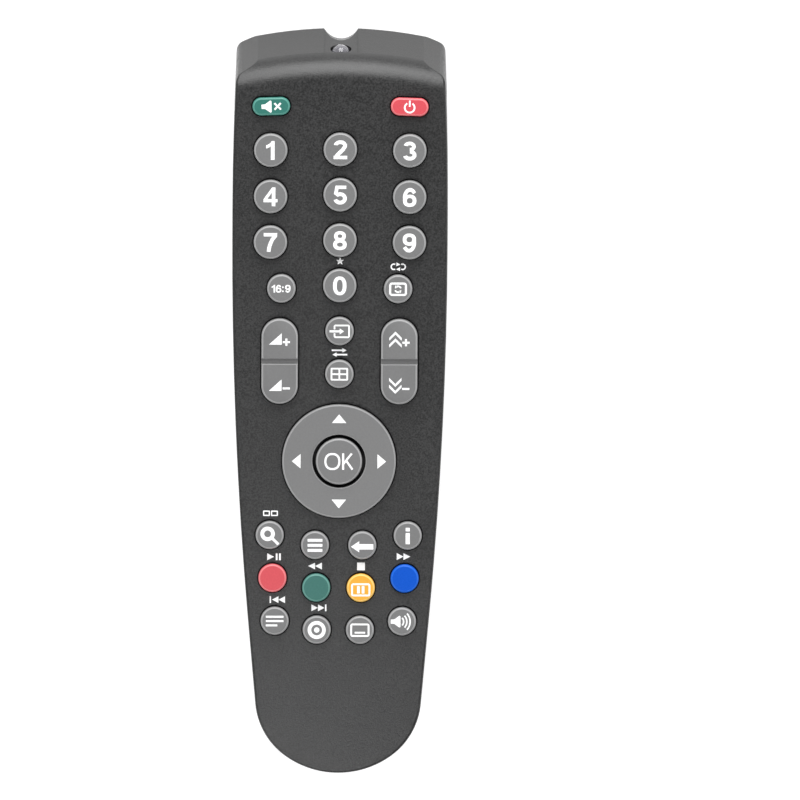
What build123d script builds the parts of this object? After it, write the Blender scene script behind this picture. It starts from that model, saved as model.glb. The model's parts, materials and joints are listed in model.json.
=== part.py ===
from build123d import *

import math
import os

# Television remote control, millimetres.
# X is across the case, +Y is the infrared end, +Z is the key side.
# The origin is under the middle of the case, on the surface that it lies on.

# Case outline, seen from above
case_length = 205.0
case_width = 59.4
end_radius = 120.0  # plan curve of the infrared end
widest_from = 45.0  # the sides are straight and widest between these two places
widest_to = 62.0
lower_side_radius = 1167.0
upper_side_radius = 720.0
taper_from_end = 42.95  # the sides run straight from here down, measured from the bottom end
bottom_flat_half = 2.95  # half of the shallow arc between the bottom corners
bottom_arc_rise = 0.962
top_corner_radius = 3.0
top_corner_drop = 3.4
top_corner_turn = 60.0
least_corner_radius = 0.5

# Cells, and the gaps round them
cell_diameter = 14.5
cell_length = 50.5
cell_nub_diameter = 5.5
cell_nub_length = 1.0
cell_pitch = 15.2
cell_lift = 0.3
cell_roof_gap = 0.275
cell_side_gap = 0.55
cell_edge_radius = 0.5

# Case heights
face_depth = 5.83  # from the parting line up to the middle of the key face
face_crown_radius = 620.0
face_bend_radius = 1790.0
face_bend_from = -27.5
face_edge_radius = 0.7
parting_gap = 0.3
end_lean = 19.5
end_bend_radius = 8.5
lip_edge_radius = 1.4

# Infrared end of the lower casing
lip_thickness = 3.3
face_end_wall = 3.9  # end wall of the front shell above the parting line
face_end_bend = 6.0
parting_lean = 21.0
parting_bend_radius = 7.0
hook_depth = 12.1
hook_lean = 16.0
hook_inner_radius = 131.0
hook_root_radius = 3.0
hook_edge_radius = 0.8

# Neck and battery bulge
neck_height = 6.5
neck_crown_radius = 290.0
neck_fade_from = 22.0  # the neck's back edge fades out between these two places,
neck_fade_to = 60.0  # measured from the top of the bulge's arch
bulge_flank = 9.5
bulge_rise = 10.35
bulge_end_run = 20.0
bulge_overlap = 0.06  # how far its top edge reaches past the sides before they trim it
bulge_reach = 20.36  # from the door up to the top of the bulge's arch
bulge_ramp = 19.0
bulge_arch_length = 21.0
bulge_shoulder_run = 13.0

# Walls
face_wall = 1.6
rear_wall = 1.8
rear_end_wall = 1.9
bulge_wall = 2.1
tongue_thickness = 0.7
tongue_height = 0.9
tongue_root = 0.3  # how far the tongue reaches up into its wall
tongue_clearance = 0.1
tongue_end_margin = 18.5
mat_post_radius = 0.9
board_post_radius = 1.6
post_root = 0.3  # how far a post reaches into the wall that it stands on

# Battery door
door_margin = 11.44  # from the bottom end of the case
door_side_margin = 0.55
door_arch_rise = 5.02
door_arch_half = 13.3
door_corner_radius = 7.0
door_thickness = 1.5
door_gap = 0.3
door_notch_width = 17.8
door_notch_depth = 4.6
door_notch_corner = 0.4
door_hinge_gap = 0.24  # from the door's edge to its hinge line
door_tongue_width = 8.0
door_tongue_length = 3.0
door_tongue_thickness = 1.0
door_tongue_height = 4.4
door_riser_thickness = 1.5
door_rib_root = 0.3  # how far the riser and the latch leg reach down into the door
scoop_floor = 1.7
scoop_wall = 1.2
scoop_slope = 0.75  # run of the scoop's sloping wall
ledge_width = 16.1
ledge_reach = 1.14
latch_width = 9.6
latch_length = 2.7
latch_lead = 0.76  # how far the tab reaches past the door's top edge
latch_arch_rise = 1.2
latch_thickness = 1.1
latch_leaf_width = 8.0
latch_leaf_thickness = 0.7
latch_leaf_height = 6.6
latch_gap = 0.1
latch_nib = 0.2
latch_nib_height = 0.5
latch_leg_height = 6.9
latch_leg_thickness = 0.7
latch_bar_thickness = 0.6

# Battery bay and contacts
bay_top_margin = 6.84  # from the bay's top end to the door's top edge
bay_bottom_margin = 11.56
bay_wall = 1.2
bay_side_wall = 1.8
bay_ceiling = 0.72
bay_pad_inset = 3.4
bay_pad_margins = (6.8, 42.8)  # from the bay's top end
contact_thickness = 0.4
contact_width = 9.0
contact_drop = 4.55  # from a cell's axis to the contact's lower edge
contact_roof_gap = 0.1
contact_tab_width = 2.0
contact_tab_root = 1.0
bridge_width = 24.2
bridge_height = 9.0
spring_length = 5.0
spring_wire = 0.7
spring_turns = 3.5
spring_flat_turns = 0.6  # each end of the coil lies flat for this much of a turn
spring_base_radius = 4.2
spring_tip_radius = 2.6
spring_turn_steps = 16

# Board and mat
board_gap = 0.38
board_thickness = 1.0
board_inset = 3.2
board_end_margin = 1.1  # from the lamp's wires to the board's edge
board_bottom_margin = 32.5
lead_hole_diameter = 0.8
mat_thickness = 0.7
mat_inset = 3.7
mat_end_margin = 2.1
mat_hole_clearance = 0.5

# Parts under the board
chip_width = 7.5
chip_length = 17.8
chip_height = 2.3
chip_lift = 0.1
chip_margin = 28.0  # from the board's upper edge
pin_pitch = 1.27
pin_width = 0.4
pin_thickness = 0.25
pin_root = 0.2
pin_reach = 1.4
pin_rows = 14
resonator_length = 11.2
resonator_width = 4.6
resonator_height = 3.5
capacitor_diameter = 6.3
capacitor_height = 7.0
capacitor_edge_radius = 0.5
driver_diameter = 4.8
driver_height = 4.6
driver_flat = 1.4  # from the driver's axis to its flat side
resistor_size = (2.0, 1.2, 0.5)
resistor_pitch = 2.4
resistor_count = 4

# Keys
key_travel = 0.8
key_spare = 0.1  # air left under a key's contact at the end of its travel
key_clearance = 0.37
key_flange = 0.6
key_flange_thickness = 0.5
key_slack = 0.12
key_bevel = 0.45
pill_thickness = 0.4
stem_inset = 1.75
digit_diameter = 9.25
digit_height = 2.2
digit_pitch = 19.15
small_diameter = 7.9
small_height = 2.0
low_diameter = 7.8
low_height = 1.7
pill_key_length = 10.4
pill_key_width = 4.95
pill_key_height = 1.9
pill_key_tilt = 1.8
rocker_width = 10.1
rocker_length = 23.6
rocker_height = 2.2
rocker_tilt = 2.5
rocker_groove_width = 2.4
rocker_groove_depth = 1.0
rocker_pill_pitch = 15.0
rocker_pill_radius = 2.0
rocker_flange_thickness = 0.6
ring_diameter = 31.4
ring_bore = 14.7
ring_height = 1.9
ring_dish = 0.35
ring_bevel = 0.4
ring_tilt = 1.8
ring_flange = 0.5
ring_flange_depth = 3.15  # below the middle of the key face
ring_inner_depth = 2.1
ring_wall = 1.6
ring_roof = 1.8
ring_rib_width = 1.2
ring_rib_root = 0.2
ring_rib_inner = 0.4  # the ribs that rest on the frame span these two distances
ring_rib_outer = 0.65  # inside and outside the middle of its band
ring_pill_radius = 12.5
ring_pill_size = 1.5
gimbal_bore = 17.4
gimbal_band = 1.3
gimbal_thickness = 0.9
gimbal_drop = 0.6  # the gimbal's height above the mat
gimbal_nub_radius = 0.6
gimbal_arm_width = 3.6
gimbal_arm_root = 0.15
gimbal_arm_reach = 1.0
nav_gap = 0.05
ok_diameter = 12.8
ok_height = 2.3
ok_flange_radius = 8.1
ok_flange_thickness = 0.45
ok_flange_depth = 3.0
ok_stem_radius = 4.0

# Infrared lamp
lamp_depth = 3.17  # its axis lies this far below the parting line
lamp_diameter = 5.0
lamp_hole_diameter = 5.8
lamp_tip_inset = 3.7
lamp_length = 8.6
lamp_rim_diameter = 5.9
lamp_rim_length = 1.0
lamp_slot_gap = 0.25
lamp_slot_floor = 0.45
lead_diameter = 0.5
lead_pitch = 2.54
lead_length = 3.3
lead_bend_radius = 1.0
lead_stub = 0.4
notch_radius = 5.3
notch_depth = 2.95
recess_width = 9.1
recess_depth = 0.5

# How far the blocks that cut or trim reach beyond what they shape
far = 200.0
reach = 1.0
under_case = -5.0
over_case = 30.0
wide_half = 50.0
end_plan_half = 48.0
block_low = -20.0
lean_low = -10.0
lean_high = 40.0
lean_overlap = 30.0
plan_margin = 7.5
crown_margin = 13.0
slab_margin = 27.5

# Worked out from the sizes above
half_width = case_width / 2
end_y = case_length / 2
bottom_y = -case_length / 2
end_centre_y = end_y - end_radius
split_y = widest_from + 5.0
bay_roof = door_thickness + cell_lift + cell_diameter + cell_roof_gap
rear_top = bay_roof + bay_ceiling
parting_height = rear_top + parting_gap / 2
front_base = rear_top + parting_gap
face_height = parting_height + face_depth
board_z = rear_top + board_gap
board_face = board_z + board_thickness
mat_face = board_face + mat_thickness
pill_rest = board_face + key_travel + key_spare
rocker_tip = rocker_pill_pitch / 2 + rocker_pill_radius
rocker_pill_low = board_face + rocker_tip * math.sin(math.radians(rocker_tilt)) + key_spare
gimbal_low = mat_face + gimbal_drop
gimbal_top = gimbal_low + gimbal_thickness
gimbal_middle = gimbal_bore / 2 + gimbal_band / 2
ring_tip = ring_pill_radius + ring_pill_size
nav_pill_low = board_face + ring_tip * math.sin(math.radians(ring_tilt)) + key_spare
ring_flange_low = face_height - ring_flange_depth
lip_angle = math.radians(end_lean)
lip_overrun = lip_edge_radius * (math.tan(lip_angle) + 1 / math.cos(lip_angle) - 1)
tongue_inset = face_wall - tongue_thickness
cell_x = cell_pitch / 2
cell_z = door_thickness + cell_lift + cell_diameter / 2
bay_width = cell_pitch + cell_diameter + 2 * cell_side_gap
bay_length = 2 * contact_thickness + spring_length + cell_length
door_width = bay_width + 2 * door_side_margin
door_bottom = bottom_y + door_margin
bay_bottom = door_bottom + bay_bottom_margin
bay_top = bay_bottom + bay_length
door_top = bay_top + bay_top_margin
bulge_top = door_top + bulge_reach
bulge_shoulder = bulge_top - bulge_arch_length
contact_bottom = cell_z - contact_drop
ledge_edge = door_top - ledge_reach
latch_top = door_top + latch_lead
latch_leaf_y = ledge_edge - 2 * latch_nib
lamp_height = parting_height - lamp_depth
lamp_base_y = end_y - lamp_tip_inset - lamp_length
lead_y = lamp_base_y - lead_length
board_top = lead_y + board_end_margin
board_bottom = bottom_y + board_bottom_margin
chip_y = board_top - chip_margin

# Places on the face are given for a case of this size, and spread with the real one
drawn_length = 205.0
drawn_width = 59.4


def spread(x, y):
    """A place on the face, moved in or out with the case's sides and ends."""
    return (x * case_width / drawn_width, y * case_length / drawn_length)


ring_y = spread(0.0, -15.7)[1]
mat_posts = [
    spread(-9.6, 64.2),
    spread(9.6, 64.2),
    spread(-9.6, 51.5),
    spread(9.6, 51.5),
    spread(-9.0, 38.8),
    spread(9.0, 38.8),
    spread(-8.2, 14.4),
    spread(8.2, 14.4),
    spread(0.0, -44.9),
    spread(0.0, -57.0),
]
board_posts = [spread(-20.0, 74.0), spread(20.0, 74.0), spread(-20.0, 30.0), spread(20.0, 30.0)]
resonator_place = spread(14.0, 40.0)
capacitor_place = spread(-14.0, 30.0)
driver_place = spread(-12.0, 74.0)
resistor_place = spread(9.0, 70.6)
ring_pill_places = [
    (-ring_pill_radius, ring_y),
    (ring_pill_radius, ring_y),
    (0.0, ring_y - ring_pill_radius),
    (0.0, ring_y + ring_pill_radius),
]
digit_places = {
    "key_1": spread(-digit_pitch, 70.2),
    "key_2": spread(0.0, 70.5),
    "key_3": spread(digit_pitch, 70.2),
    "key_4": spread(-digit_pitch, 57.4),
    "key_5": spread(0.0, 58.0),
    "key_6": spread(digit_pitch, 57.4),
    "key_7": spread(-digit_pitch, 44.8),
    "key_8": spread(0.0, 45.4),
    "key_9": spread(digit_pitch, 44.8),
    "key_0": spread(0.0, 32.9),
}
small_places = {
    "key_aspect": spread(-16.08, 32.0),
    "key_repeat": spread(16.08, 32.0),
    "key_source": spread(0.0, 20.3),
    "key_guide": spread(0.0, 8.45),
}
low_places = {
    "key_zoom": spread(-19.04, -36.3),
    "key_menu": spread(-6.53, -39.0),
    "key_back": spread(6.53, -39.0),
    "key_info": spread(19.04, -36.3),
    "key_red": spread(-18.24, -48.2),
    "key_green": spread(-6.15, -50.8),
    "key_yellow": spread(6.15, -50.8),
    "key_blue": spread(18.24, -48.2),
    "key_text": spread(-17.57, -60.1),
    "key_record": spread(-5.96, -62.5),
    "key_subtitle": spread(5.96, -62.5),
    "key_audio": spread(17.57, -60.1),
}
pill_places = {"key_mute": spread(-19.05, 82.3), "key_power": spread(19.05, 82.3)}
rocker_places = {"rocker_volume": spread(-16.48, 11.9), "rocker_channel": spread(16.48, 11.9)}


def face_z(x, y):
    """Height of the key face at a place."""
    below = min(0.0, y - face_bend_from)
    return face_height - x * x / (2 * face_crown_radius) - below * below / (2 * face_bend_radius)


def lower_outline(inset=0.0, end_inset=None):
    """Right side of the outline below the widest place: the centres and radii of its arcs."""
    shift = 0.0 if end_inset is None else end_inset - inset
    turn = math.asin((widest_from - bottom_y - taper_from_end) / lower_side_radius)
    side_x = half_width - lower_side_radius + lower_side_radius * math.cos(turn)
    side_y = widest_from - lower_side_radius * math.sin(turn)
    low_y = bottom_y + bottom_arc_rise + shift
    room = (side_x - bottom_flat_half) * math.cos(turn) - (side_y - low_y) * math.sin(turn)
    corner_radius = room / (1 - math.sin(turn))
    corner = (bottom_flat_half, low_y + corner_radius)
    wider = (bottom_flat_half**2 + bottom_arc_rise**2) / (2 * bottom_arc_rise)
    bottom_centre = (0.0, bottom_y + shift + corner_radius + wider)
    meet = math.atan2(bottom_centre[1] - corner[1], corner[0])
    left = corner_radius - inset
    return {
        "side_centre": (half_width - lower_side_radius, widest_from),
        "side_radius": lower_side_radius - inset,
        "taper_start": (side_x - inset * math.cos(turn), side_y + inset * math.sin(turn)),
        "taper_end": (corner[0] + left * math.cos(turn), corner[1] - left * math.sin(turn)),
        "corner_centre": corner,
        "corner_radius": left,
        "bottom_centre": bottom_centre,
        "bottom_radius": left + wider,
        "turn": math.degrees(turn),
        "meet": math.degrees(meet),
    }


def mirrored(point):
    return (-point[0], point[1])


def lower_edges(inset=0.0, end_inset=None, side_from=0.0):
    """Closed run of tangent edges from the right side round the bottom to the left side."""
    o = lower_outline(inset, end_inset)
    turn = o["turn"]
    meet = o["meet"]
    centre = o["side_centre"]
    corner = o["corner_centre"]
    return [
        CenterArc(centre, o["side_radius"], -side_from, -(turn - side_from)),
        Line(o["taper_start"], o["taper_end"]),
        CenterArc(corner, o["corner_radius"], -turn, -(meet - turn)),
        CenterArc(o["bottom_centre"], o["bottom_radius"], -meet, -(180 - 2 * meet)),
        CenterArc(mirrored(corner), o["corner_radius"], meet - 180, -(meet - turn)),
        Line(mirrored(o["taper_end"]), mirrored(o["taper_start"])),
        CenterArc(mirrored(centre), o["side_radius"], 180 + turn, -(turn - side_from)),
    ]


def lower_plan(inset=0.0):
    """Plan face of the case below the split on its widest stretch."""
    x = half_width - inset
    edges = lower_edges(inset)
    edges.append(Polyline((-x, widest_from), (-x, split_y), (x, split_y), (x, widest_from)))
    return make_face(edges)


def upper_plan(inset=0.0, bottom=split_y):
    """Plan face of the case above the given place, with a pointed roof beyond the end."""
    x = half_width - inset
    radius = upper_side_radius - inset
    centre = (x - radius, widest_to)
    corner_y = end_y - top_corner_drop - top_corner_radius
    rise = math.degrees(math.asin((corner_y - widest_to) / radius))
    side_x = centre[0] + radius * math.cos(math.radians(rise))
    small = max(top_corner_radius - inset, least_corner_radius)
    corner = (
        side_x - small * math.cos(math.radians(rise)),
        corner_y - small * math.sin(math.radians(rise)),
    )
    finish = rise + top_corner_turn
    last = (
        corner[0] + small * math.cos(math.radians(finish)),
        corner[1] + small * math.sin(math.radians(finish)),
    )
    slope = math.tan(math.radians(90 - finish))
    peak = (0.0, last[1] + last[0] * slope)
    edges = [
        Line((x, bottom), (x, widest_to)),
        CenterArc(centre, radius, 0, rise),
        CenterArc(corner, small, rise, top_corner_turn),
        Polyline(last, peak, mirrored(last)),
        CenterArc(mirrored(corner), small, 180 - finish, top_corner_turn),
        CenterArc(mirrored(centre), radius, 180 - rise, rise),
        Polyline((-x, widest_to), (-x, bottom), (x, bottom)),
    ]
    return make_face(edges)


def leaning(plan, lean, low=lean_low, high=lean_high):
    """Extrude a plan face drawn at the rest surface so that it leans towards the bottom end."""
    angle = math.radians(lean)
    direction = Vector(0, -math.sin(angle), math.cos(angle))
    start = direction * (low / math.cos(angle))
    return extrude(Pos(*start) * plan, amount=(high - low) / math.cos(angle), dir=direction)


def sides(inset=0.0):
    """The case's side walls as one tall solid, upright below and leaning at the infrared end."""
    lower = raised(lower_plan(inset), lean_low, lean_high)
    upper = leaning(upper_plan(inset, bottom=split_y - lean_overlap), end_lean)
    return lower + (upper & block((-far, split_y, -far), (far, far, far)))


def crown_section(top, radius, y):
    """Upright slice under the crowned face, facing along Y."""
    side = top - radius + math.sqrt(radius**2 - wide_half**2)
    section = make_face(
        [
            Polyline(
                (wide_half, side), (wide_half, block_low), (-wide_half, block_low), (-wide_half, side)
            ),
            ThreePointArc((-wide_half, side), (0, top), (wide_half, side)),
        ]
    )
    return Plane(origin=(0, y, 0), x_dir=(-1, 0, 0), z_dir=(0, 1, 0)) * section


def crowned(depth=0.0):
    """Everything under the key face, or under a face that lies the given depth below it."""
    span_count = 4
    step = (face_bend_from - bottom_y + crown_margin) / span_count
    slices = []
    for index in range(-1, span_count + 1):
        y = face_bend_from - step * index
        slices.append(crown_section(face_z(0, y) - depth, face_crown_radius - depth, y))
    straight = extrude(slices[0], amount=far, dir=(0, 1, 0))
    return straight + loft(slices)


def end_plan(end):
    """Wide plan face that stops at the curved infrared end."""
    radius = end - end_centre_y
    x = end_plan_half
    y = end_centre_y + math.sqrt(radius**2 - x**2)
    low = bottom_y - plan_margin
    return make_face(
        [
            Polyline((x, y), (x, low), (-x, low), (-x, y)),
            ThreePointArc((-x, y), (0, end), (x, y)),
        ]
    )


def rounded_end(solid, edge_z, radius):
    """Round the long edge of the leaning end face that lies nearest to a height."""
    edges = [
        e
        for e in solid.edges()
        if abs(e.center().X) < 1 and e.center().Y > widest_to and e.length > case_width
    ]
    edges.sort(key=lambda e: abs(e.center().Z - edge_z))
    return fillet(edges[0], radius)


def case_block(end, lean, depth, bend_radius):
    """Wide block under a crowned face, with a leaning end that bends into the face."""
    body = leaning(end_plan(end), lean) & crowned(depth) & above(0.0)
    return rounded_end(body, parting_height, bend_radius)


def flat_block(end, lean, top, bend_radius):
    """The same block under a flat top."""
    under = block((-far, -far, -far), (far, far, top))
    return rounded_end(leaning(end_plan(end), lean) & under, top, bend_radius)


def above(height):
    return block((-far, -far, height), (far, far, height + far))


def neck_cut(deeper=0.0):
    """What is missing behind the slim neck, between the hook and the battery bulge."""
    top = neck_height + deeper
    radius = neck_crown_radius + deeper
    side = top + radius - math.sqrt(radius**2 - wide_half**2)
    low_y = bottom_y - slab_margin
    section = make_face(
        [
            Polyline(
                (-wide_half, side), (-wide_half, block_low), (wide_half, block_low), (wide_half, side)
            ),
            ThreePointArc((wide_half, side), (0, top), (-wide_half, side)),
        ]
    )
    start = Plane(origin=(0, end_y + slab_margin, 0), z_dir=(0, -1, 0), x_dir=(1, 0, 0))
    slab = extrude(start * section, case_length + 3 * slab_margin)
    inner_y = end_y - lip_thickness - hook_depth + deeper
    x = end_plan_half
    y = inner_y - hook_inner_radius + math.sqrt(hook_inner_radius**2 - x**2)
    plan = make_face(
        [
            Polyline((x, y), (x, low_y), (-x, low_y), (-x, y)),
            ThreePointArc((-x, y), (0, inner_y), (x, y)),
        ]
    )
    cut = slab & leaning(plan, hook_lean)
    cut = rounded_end(cut, top, hook_root_radius + deeper)
    fade_from = bulge_top - neck_fade_from
    fade_to = bulge_top - neck_fade_to
    wedge_top = bulge_rise + deeper
    wedge_line = make_face(
        Polyline(
            (fade_from, top),
            (fade_to, wedge_top),
            (low_y, wedge_top),
            (low_y, block_low),
            (fade_from, block_low),
            (fade_from, top),
        )
    )
    return cut + extrude(Plane.YZ * wedge_line, far, both=True)


def bulge(inset=0.0):
    """The battery bulge down to the rest surface, lofted through level outlines."""
    faces = []
    for level in (0.0, 14.0, 30.0, 48.0, 68.0, 90.0):
        angle = math.radians(level)
        left = 1 - math.sin(angle)
        z = inset + bulge_rise * (1 - math.cos(angle))
        pulled = inset - bulge_overlap + (bulge_flank - inset) * left
        end_pulled = inset - bulge_overlap + (bulge_end_run - inset) * left
        arch_y = bulge_shoulder - bulge_shoulder_run * left
        arch_top = bulge_top - bulge_ramp * left - inset
        radius = lower_side_radius - pulled
        side_from = math.asin((widest_from - arch_y) / radius)
        x = half_width - lower_side_radius + radius * math.cos(side_from)
        edges = lower_edges(pulled, end_pulled, math.degrees(side_from))
        edges.append(EllipticalCenterArc((0, arch_y), x, arch_top - arch_y, 0, arc_size=180))
        faces.append(Pos(0, 0, z) * make_face(edges))
    return loft(faces)


def sharp_edges(solid, keep):
    """Edges where two faces meet at a clear angle, out of those that the test keeps."""
    same_way = 0.94
    found = []
    for edge in solid.edges():
        middle = edge.position_at(0.5)
        if not keep(middle):
            continue
        normals = []
        for face in solid.faces():
            if any(edge.is_same(other) for other in face.edges()):
                normals.append(face.normal_at(middle))
        if len(normals) == 2 and normals[0].dot(normals[1]) < same_way:
            found.append(edge)
    return found


def block(low, high):
    """Box between two opposite corners."""
    size = [b - a for a, b in zip(low, high)]
    centre = [(a + b) / 2 for a, b in zip(low, high)]
    return Pos(*centre) * Box(*size)


def post(x, y, radius, low, high):
    return Pos(x, y, (low + high) / 2) * Cylinder(radius, high - low)


def raised(plan, low, high):
    """Plan face extruded between two heights."""
    return extrude(Pos(0, 0, low) * plan, amount=high - low)


def joined(solids):
    """Several touching solids as one."""
    total = solids[0]
    for solid in solids[1:]:
        total = total + solid
    return total


def case_form():
    """The whole outside of the closed case."""
    end = end_y + lip_overrun
    slim = (sides() & case_block(end, end_lean, 0.0, end_bend_radius)) - neck_cut()
    slim = fillet(sharp_edges(slim, lambda p: p.Z > parting_height), face_edge_radius)
    hook_y = end_y - lip_thickness - hook_depth
    fade_from = bulge_top - neck_fade_from
    low_z = 2 * hook_edge_radius
    high_z = parting_height / 2
    neck = sharp_edges(slim, lambda p: low_z < p.Z < high_z and fade_from < p.Y < hook_y)
    slim = fillet(neck, hook_edge_radius)
    sharp = leaning(end_plan(end), end_lean) & above(0.0)
    slim = slim - (sharp - rounded_end(sharp, 0.0, lip_edge_radius))
    return slim + (bulge() & sides())


def door_plan(grow=0.0):
    """Outline of the battery door, or of its opening when grown by the gap."""
    half = door_width / 2
    corner_x = half - door_corner_radius
    corner_y = door_top - math.sqrt(door_corner_radius**2 - (door_arch_half - corner_x) ** 2)
    radius = door_corner_radius + grow
    top = door_top + grow
    rise = math.degrees(math.asin((top - corner_y) / radius))
    top_x = corner_x + radius * math.cos(math.radians(rise))
    end_middle = door_bottom + half
    return make_face(
        [
            Line((-top_x, top), (top_x, top)),
            CenterArc((corner_x, corner_y), radius, rise, -rise),
            Line((half + grow, corner_y), (half + grow, end_middle)),
            CenterArc((0, end_middle), half + grow, 0, -180),
            Line((-half - grow, end_middle), (-half - grow, corner_y)),
            CenterArc((-corner_x, corner_y), radius, 180, -rise),
        ]
    )


def scoop_circle():
    """Middle and radius of the circle that the scoop's wall follows."""
    radius = (door_arch_half**2 + door_arch_rise**2) / (2 * door_arch_rise)
    return door_top + door_arch_rise - radius, radius


def scoop_cut():
    """Thumb scoop above the battery door: a steep arched wall down to a flat floor."""
    centre_y, radius = scoop_circle()
    low_radius = radius + scoop_slope * reach / scoop_floor
    cone = Cone(low_radius, radius - scoop_slope, scoop_floor + reach)
    cone = Pos(0, centre_y, (scoop_floor - reach) / 2) * cone
    return cone & block((-far, door_top + door_gap - scoop_wall, -far), (far, far, far))


def scoop_plate():
    """Floor of the scoop, with a ledge that runs in under the latch."""
    centre_y, radius = scoop_circle()
    top = scoop_floor + scoop_wall
    disc = post(0, centre_y, radius + scoop_wall, scoop_floor, top)
    floor_plate = disc & block((-far, door_top, 0), (far, far, far))
    half = ledge_width / 2
    ledge = block((-half, ledge_edge, scoop_floor), (half, door_top + scoop_wall, top))
    return floor_plate + ledge


def battery_bay(outside):
    """Open box inside the bulge that holds the cells, above the door."""
    half = bay_width / 2
    outer_half = half + bay_side_wall
    bottom = bay_bottom - bay_wall
    low_z = door_thickness - reach
    box = block((-outer_half, bottom, low_z), (outer_half, bay_top + bay_wall, rear_top)) & outside
    inside = block((-half, bay_bottom, under_case), (half, bay_top, bay_roof))
    door_room = raised(door_plan(door_gap), under_case, bulge_rise)
    bay = box - inside - (door_room - bulge(door_thickness + latch_gap))
    slot_half = contact_tab_width / 2 + door_gap
    for x in (-cell_x, cell_x):
        low = (x - slot_half, bay_top - contact_thickness - door_gap, bay_roof - reach)
        bay = bay - block(low, (x + slot_half, bay_top + latch_gap, rear_top + reach))
    return bay


def tongue_ring(inner, outer, low, high):
    """Upright band that follows the case's sides at a depth between two insets."""
    band = sides(outer) - sides(inner)
    return band & block((-far, -far, low), (far, end_y - tongue_end_margin, high))


def key_holes():
    """Openings in the key face, one for each key."""
    cuts = []
    for x, y, plan, _, _ in push_keys().values():
        cuts.append(Pos(x, y, 0) * raised(plan(key_clearance), mat_face, over_case))
    for x, y in rocker_places.values():
        cuts.append(Pos(x, y, 0) * raised(rocker_plan(key_clearance), mat_face, over_case))
    cuts.append(post(0, ring_y, ring_diameter / 2 + key_clearance, mat_face, over_case))
    return cuts


def lamp_bore():
    """Round hole along the lamp's axis, through the infrared end."""
    length = 20.0
    bore = Rot(90, 0, 0) * Cylinder(lamp_hole_diameter / 2, length)
    return Pos(0, lamp_base_y + length / 2, lamp_height) * bore


def front_shell(outside):
    """Key face with its side walls, which also wraps over the infrared end."""
    inner_end = end_y - lip_thickness + parting_gap
    bend = parting_bend_radius + parting_gap
    shell = outside - flat_block(inner_end, parting_lean, front_base, bend)
    hollow_end = end_y + lip_overrun - face_end_wall
    shell = shell - (sides(face_wall) & case_block(hollow_end, end_lean, face_wall, face_end_bend))
    inner = tongue_inset + tongue_thickness
    low = front_base - tongue_height
    shell = shell + tongue_ring(inner, tongue_inset, low, front_base + tongue_root)
    notch_y = end_y - notch_depth + notch_radius
    shell = shell - post(0, notch_y, notch_radius, under_case, parting_height)
    recess_y = end_y + lip_overrun - recess_depth
    recess_plan = Pos(0, recess_y + recess_width / 2) * Rectangle(recess_width, recess_width)
    shell = shell - leaning(recess_plan, end_lean, -reach, parting_height)
    shell = shell - lamp_bore()
    shell = shell - key_holes()
    for x, y in mat_posts:
        shell = shell + post(x, y, mat_post_radius, mat_face, face_z(x, y) - face_wall / 2)
    return shell


def rear_shell(outside):
    """Slim neck, hook and battery bulge, with the battery bay inside."""
    inner_end = end_y - lip_thickness
    part = flat_block(inner_end, parting_lean, rear_top, parting_bend_radius)
    tall = leaning(end_plan(inner_end - rear_end_wall), parting_lean)
    neck_room = (sides(rear_wall) & tall & above(rear_wall)) - neck_cut(rear_wall)
    shell = (outside & part) - (neck_room + bulge(bulge_wall))
    shell = shell - raised(door_plan(door_gap), under_case, neck_height + rear_wall)
    shell = shell - scoop_cut()
    shell = shell + scoop_plate()
    shell = shell + battery_bay(outside)
    floor_z = front_base - tongue_height - tongue_clearance
    inset = tongue_inset - tongue_clearance
    groove = tongue_ring(rear_wall + tongue_clearance, inset, floor_z, rear_top + reach)
    shell = shell - groove
    slot_half = lamp_rim_diameter / 2 + lamp_slot_gap
    slot_low = lamp_height - lamp_rim_diameter / 2 - lamp_slot_floor
    slot_y = lead_y - lead_stub - lead_diameter
    shell = shell - block((-slot_half, slot_y, slot_low), (slot_half, end_y, rear_top + reach))
    for x, y in board_posts:
        foot = neck_height + rear_wall - post_root
        shell = shell + post(x, y, board_post_radius, foot, board_z)
    pad_x = bay_width / 2 - bay_pad_inset
    for margin in bay_pad_margins:
        for x in (-pad_x, pad_x):
            foot = rear_top - post_root
            shell = shell + post(x, bay_top - margin, board_post_radius, foot, board_z)
    return shell


def battery_door():
    """Cover of the battery bulge, with a tongue at its bottom and a leg for the latch."""
    door = (bulge() - bulge(door_thickness)) & raised(door_plan(), under_case, bulge_rise)
    foot = door_thickness - door_rib_root
    leg_y = door_top - door_notch_depth
    notch = RectangleRounded(door_notch_width, 2 * door_notch_depth, door_notch_corner)
    door = door - Pos(0, door_top, 0) * raised(notch, under_case, bulge_rise)
    half = door_tongue_width / 2
    high = door_tongue_height + door_tongue_thickness
    riser_y = door_bottom + door_hinge_gap + door_tongue_length / 6
    tongue_end = riser_y - 5 * door_tongue_length / 6
    riser = block((-half, riser_y, foot), (half, riser_y + door_riser_thickness, high))
    tongue = block((-half, tongue_end, door_tongue_height), (half, riser_y, high))
    half = latch_leaf_width / 2
    leg = block((-half, leg_y - latch_leg_thickness, foot - door_rib_root), (half, leg_y, latch_leg_height))
    bar_end = latch_leaf_y - latch_leaf_thickness - latch_gap
    bar_low = latch_leg_height - latch_bar_thickness
    bar = block((-half, leg_y, bar_low), (half, bar_end, latch_leg_height))
    return joined([door, riser, tongue, leg, bar])


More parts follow.
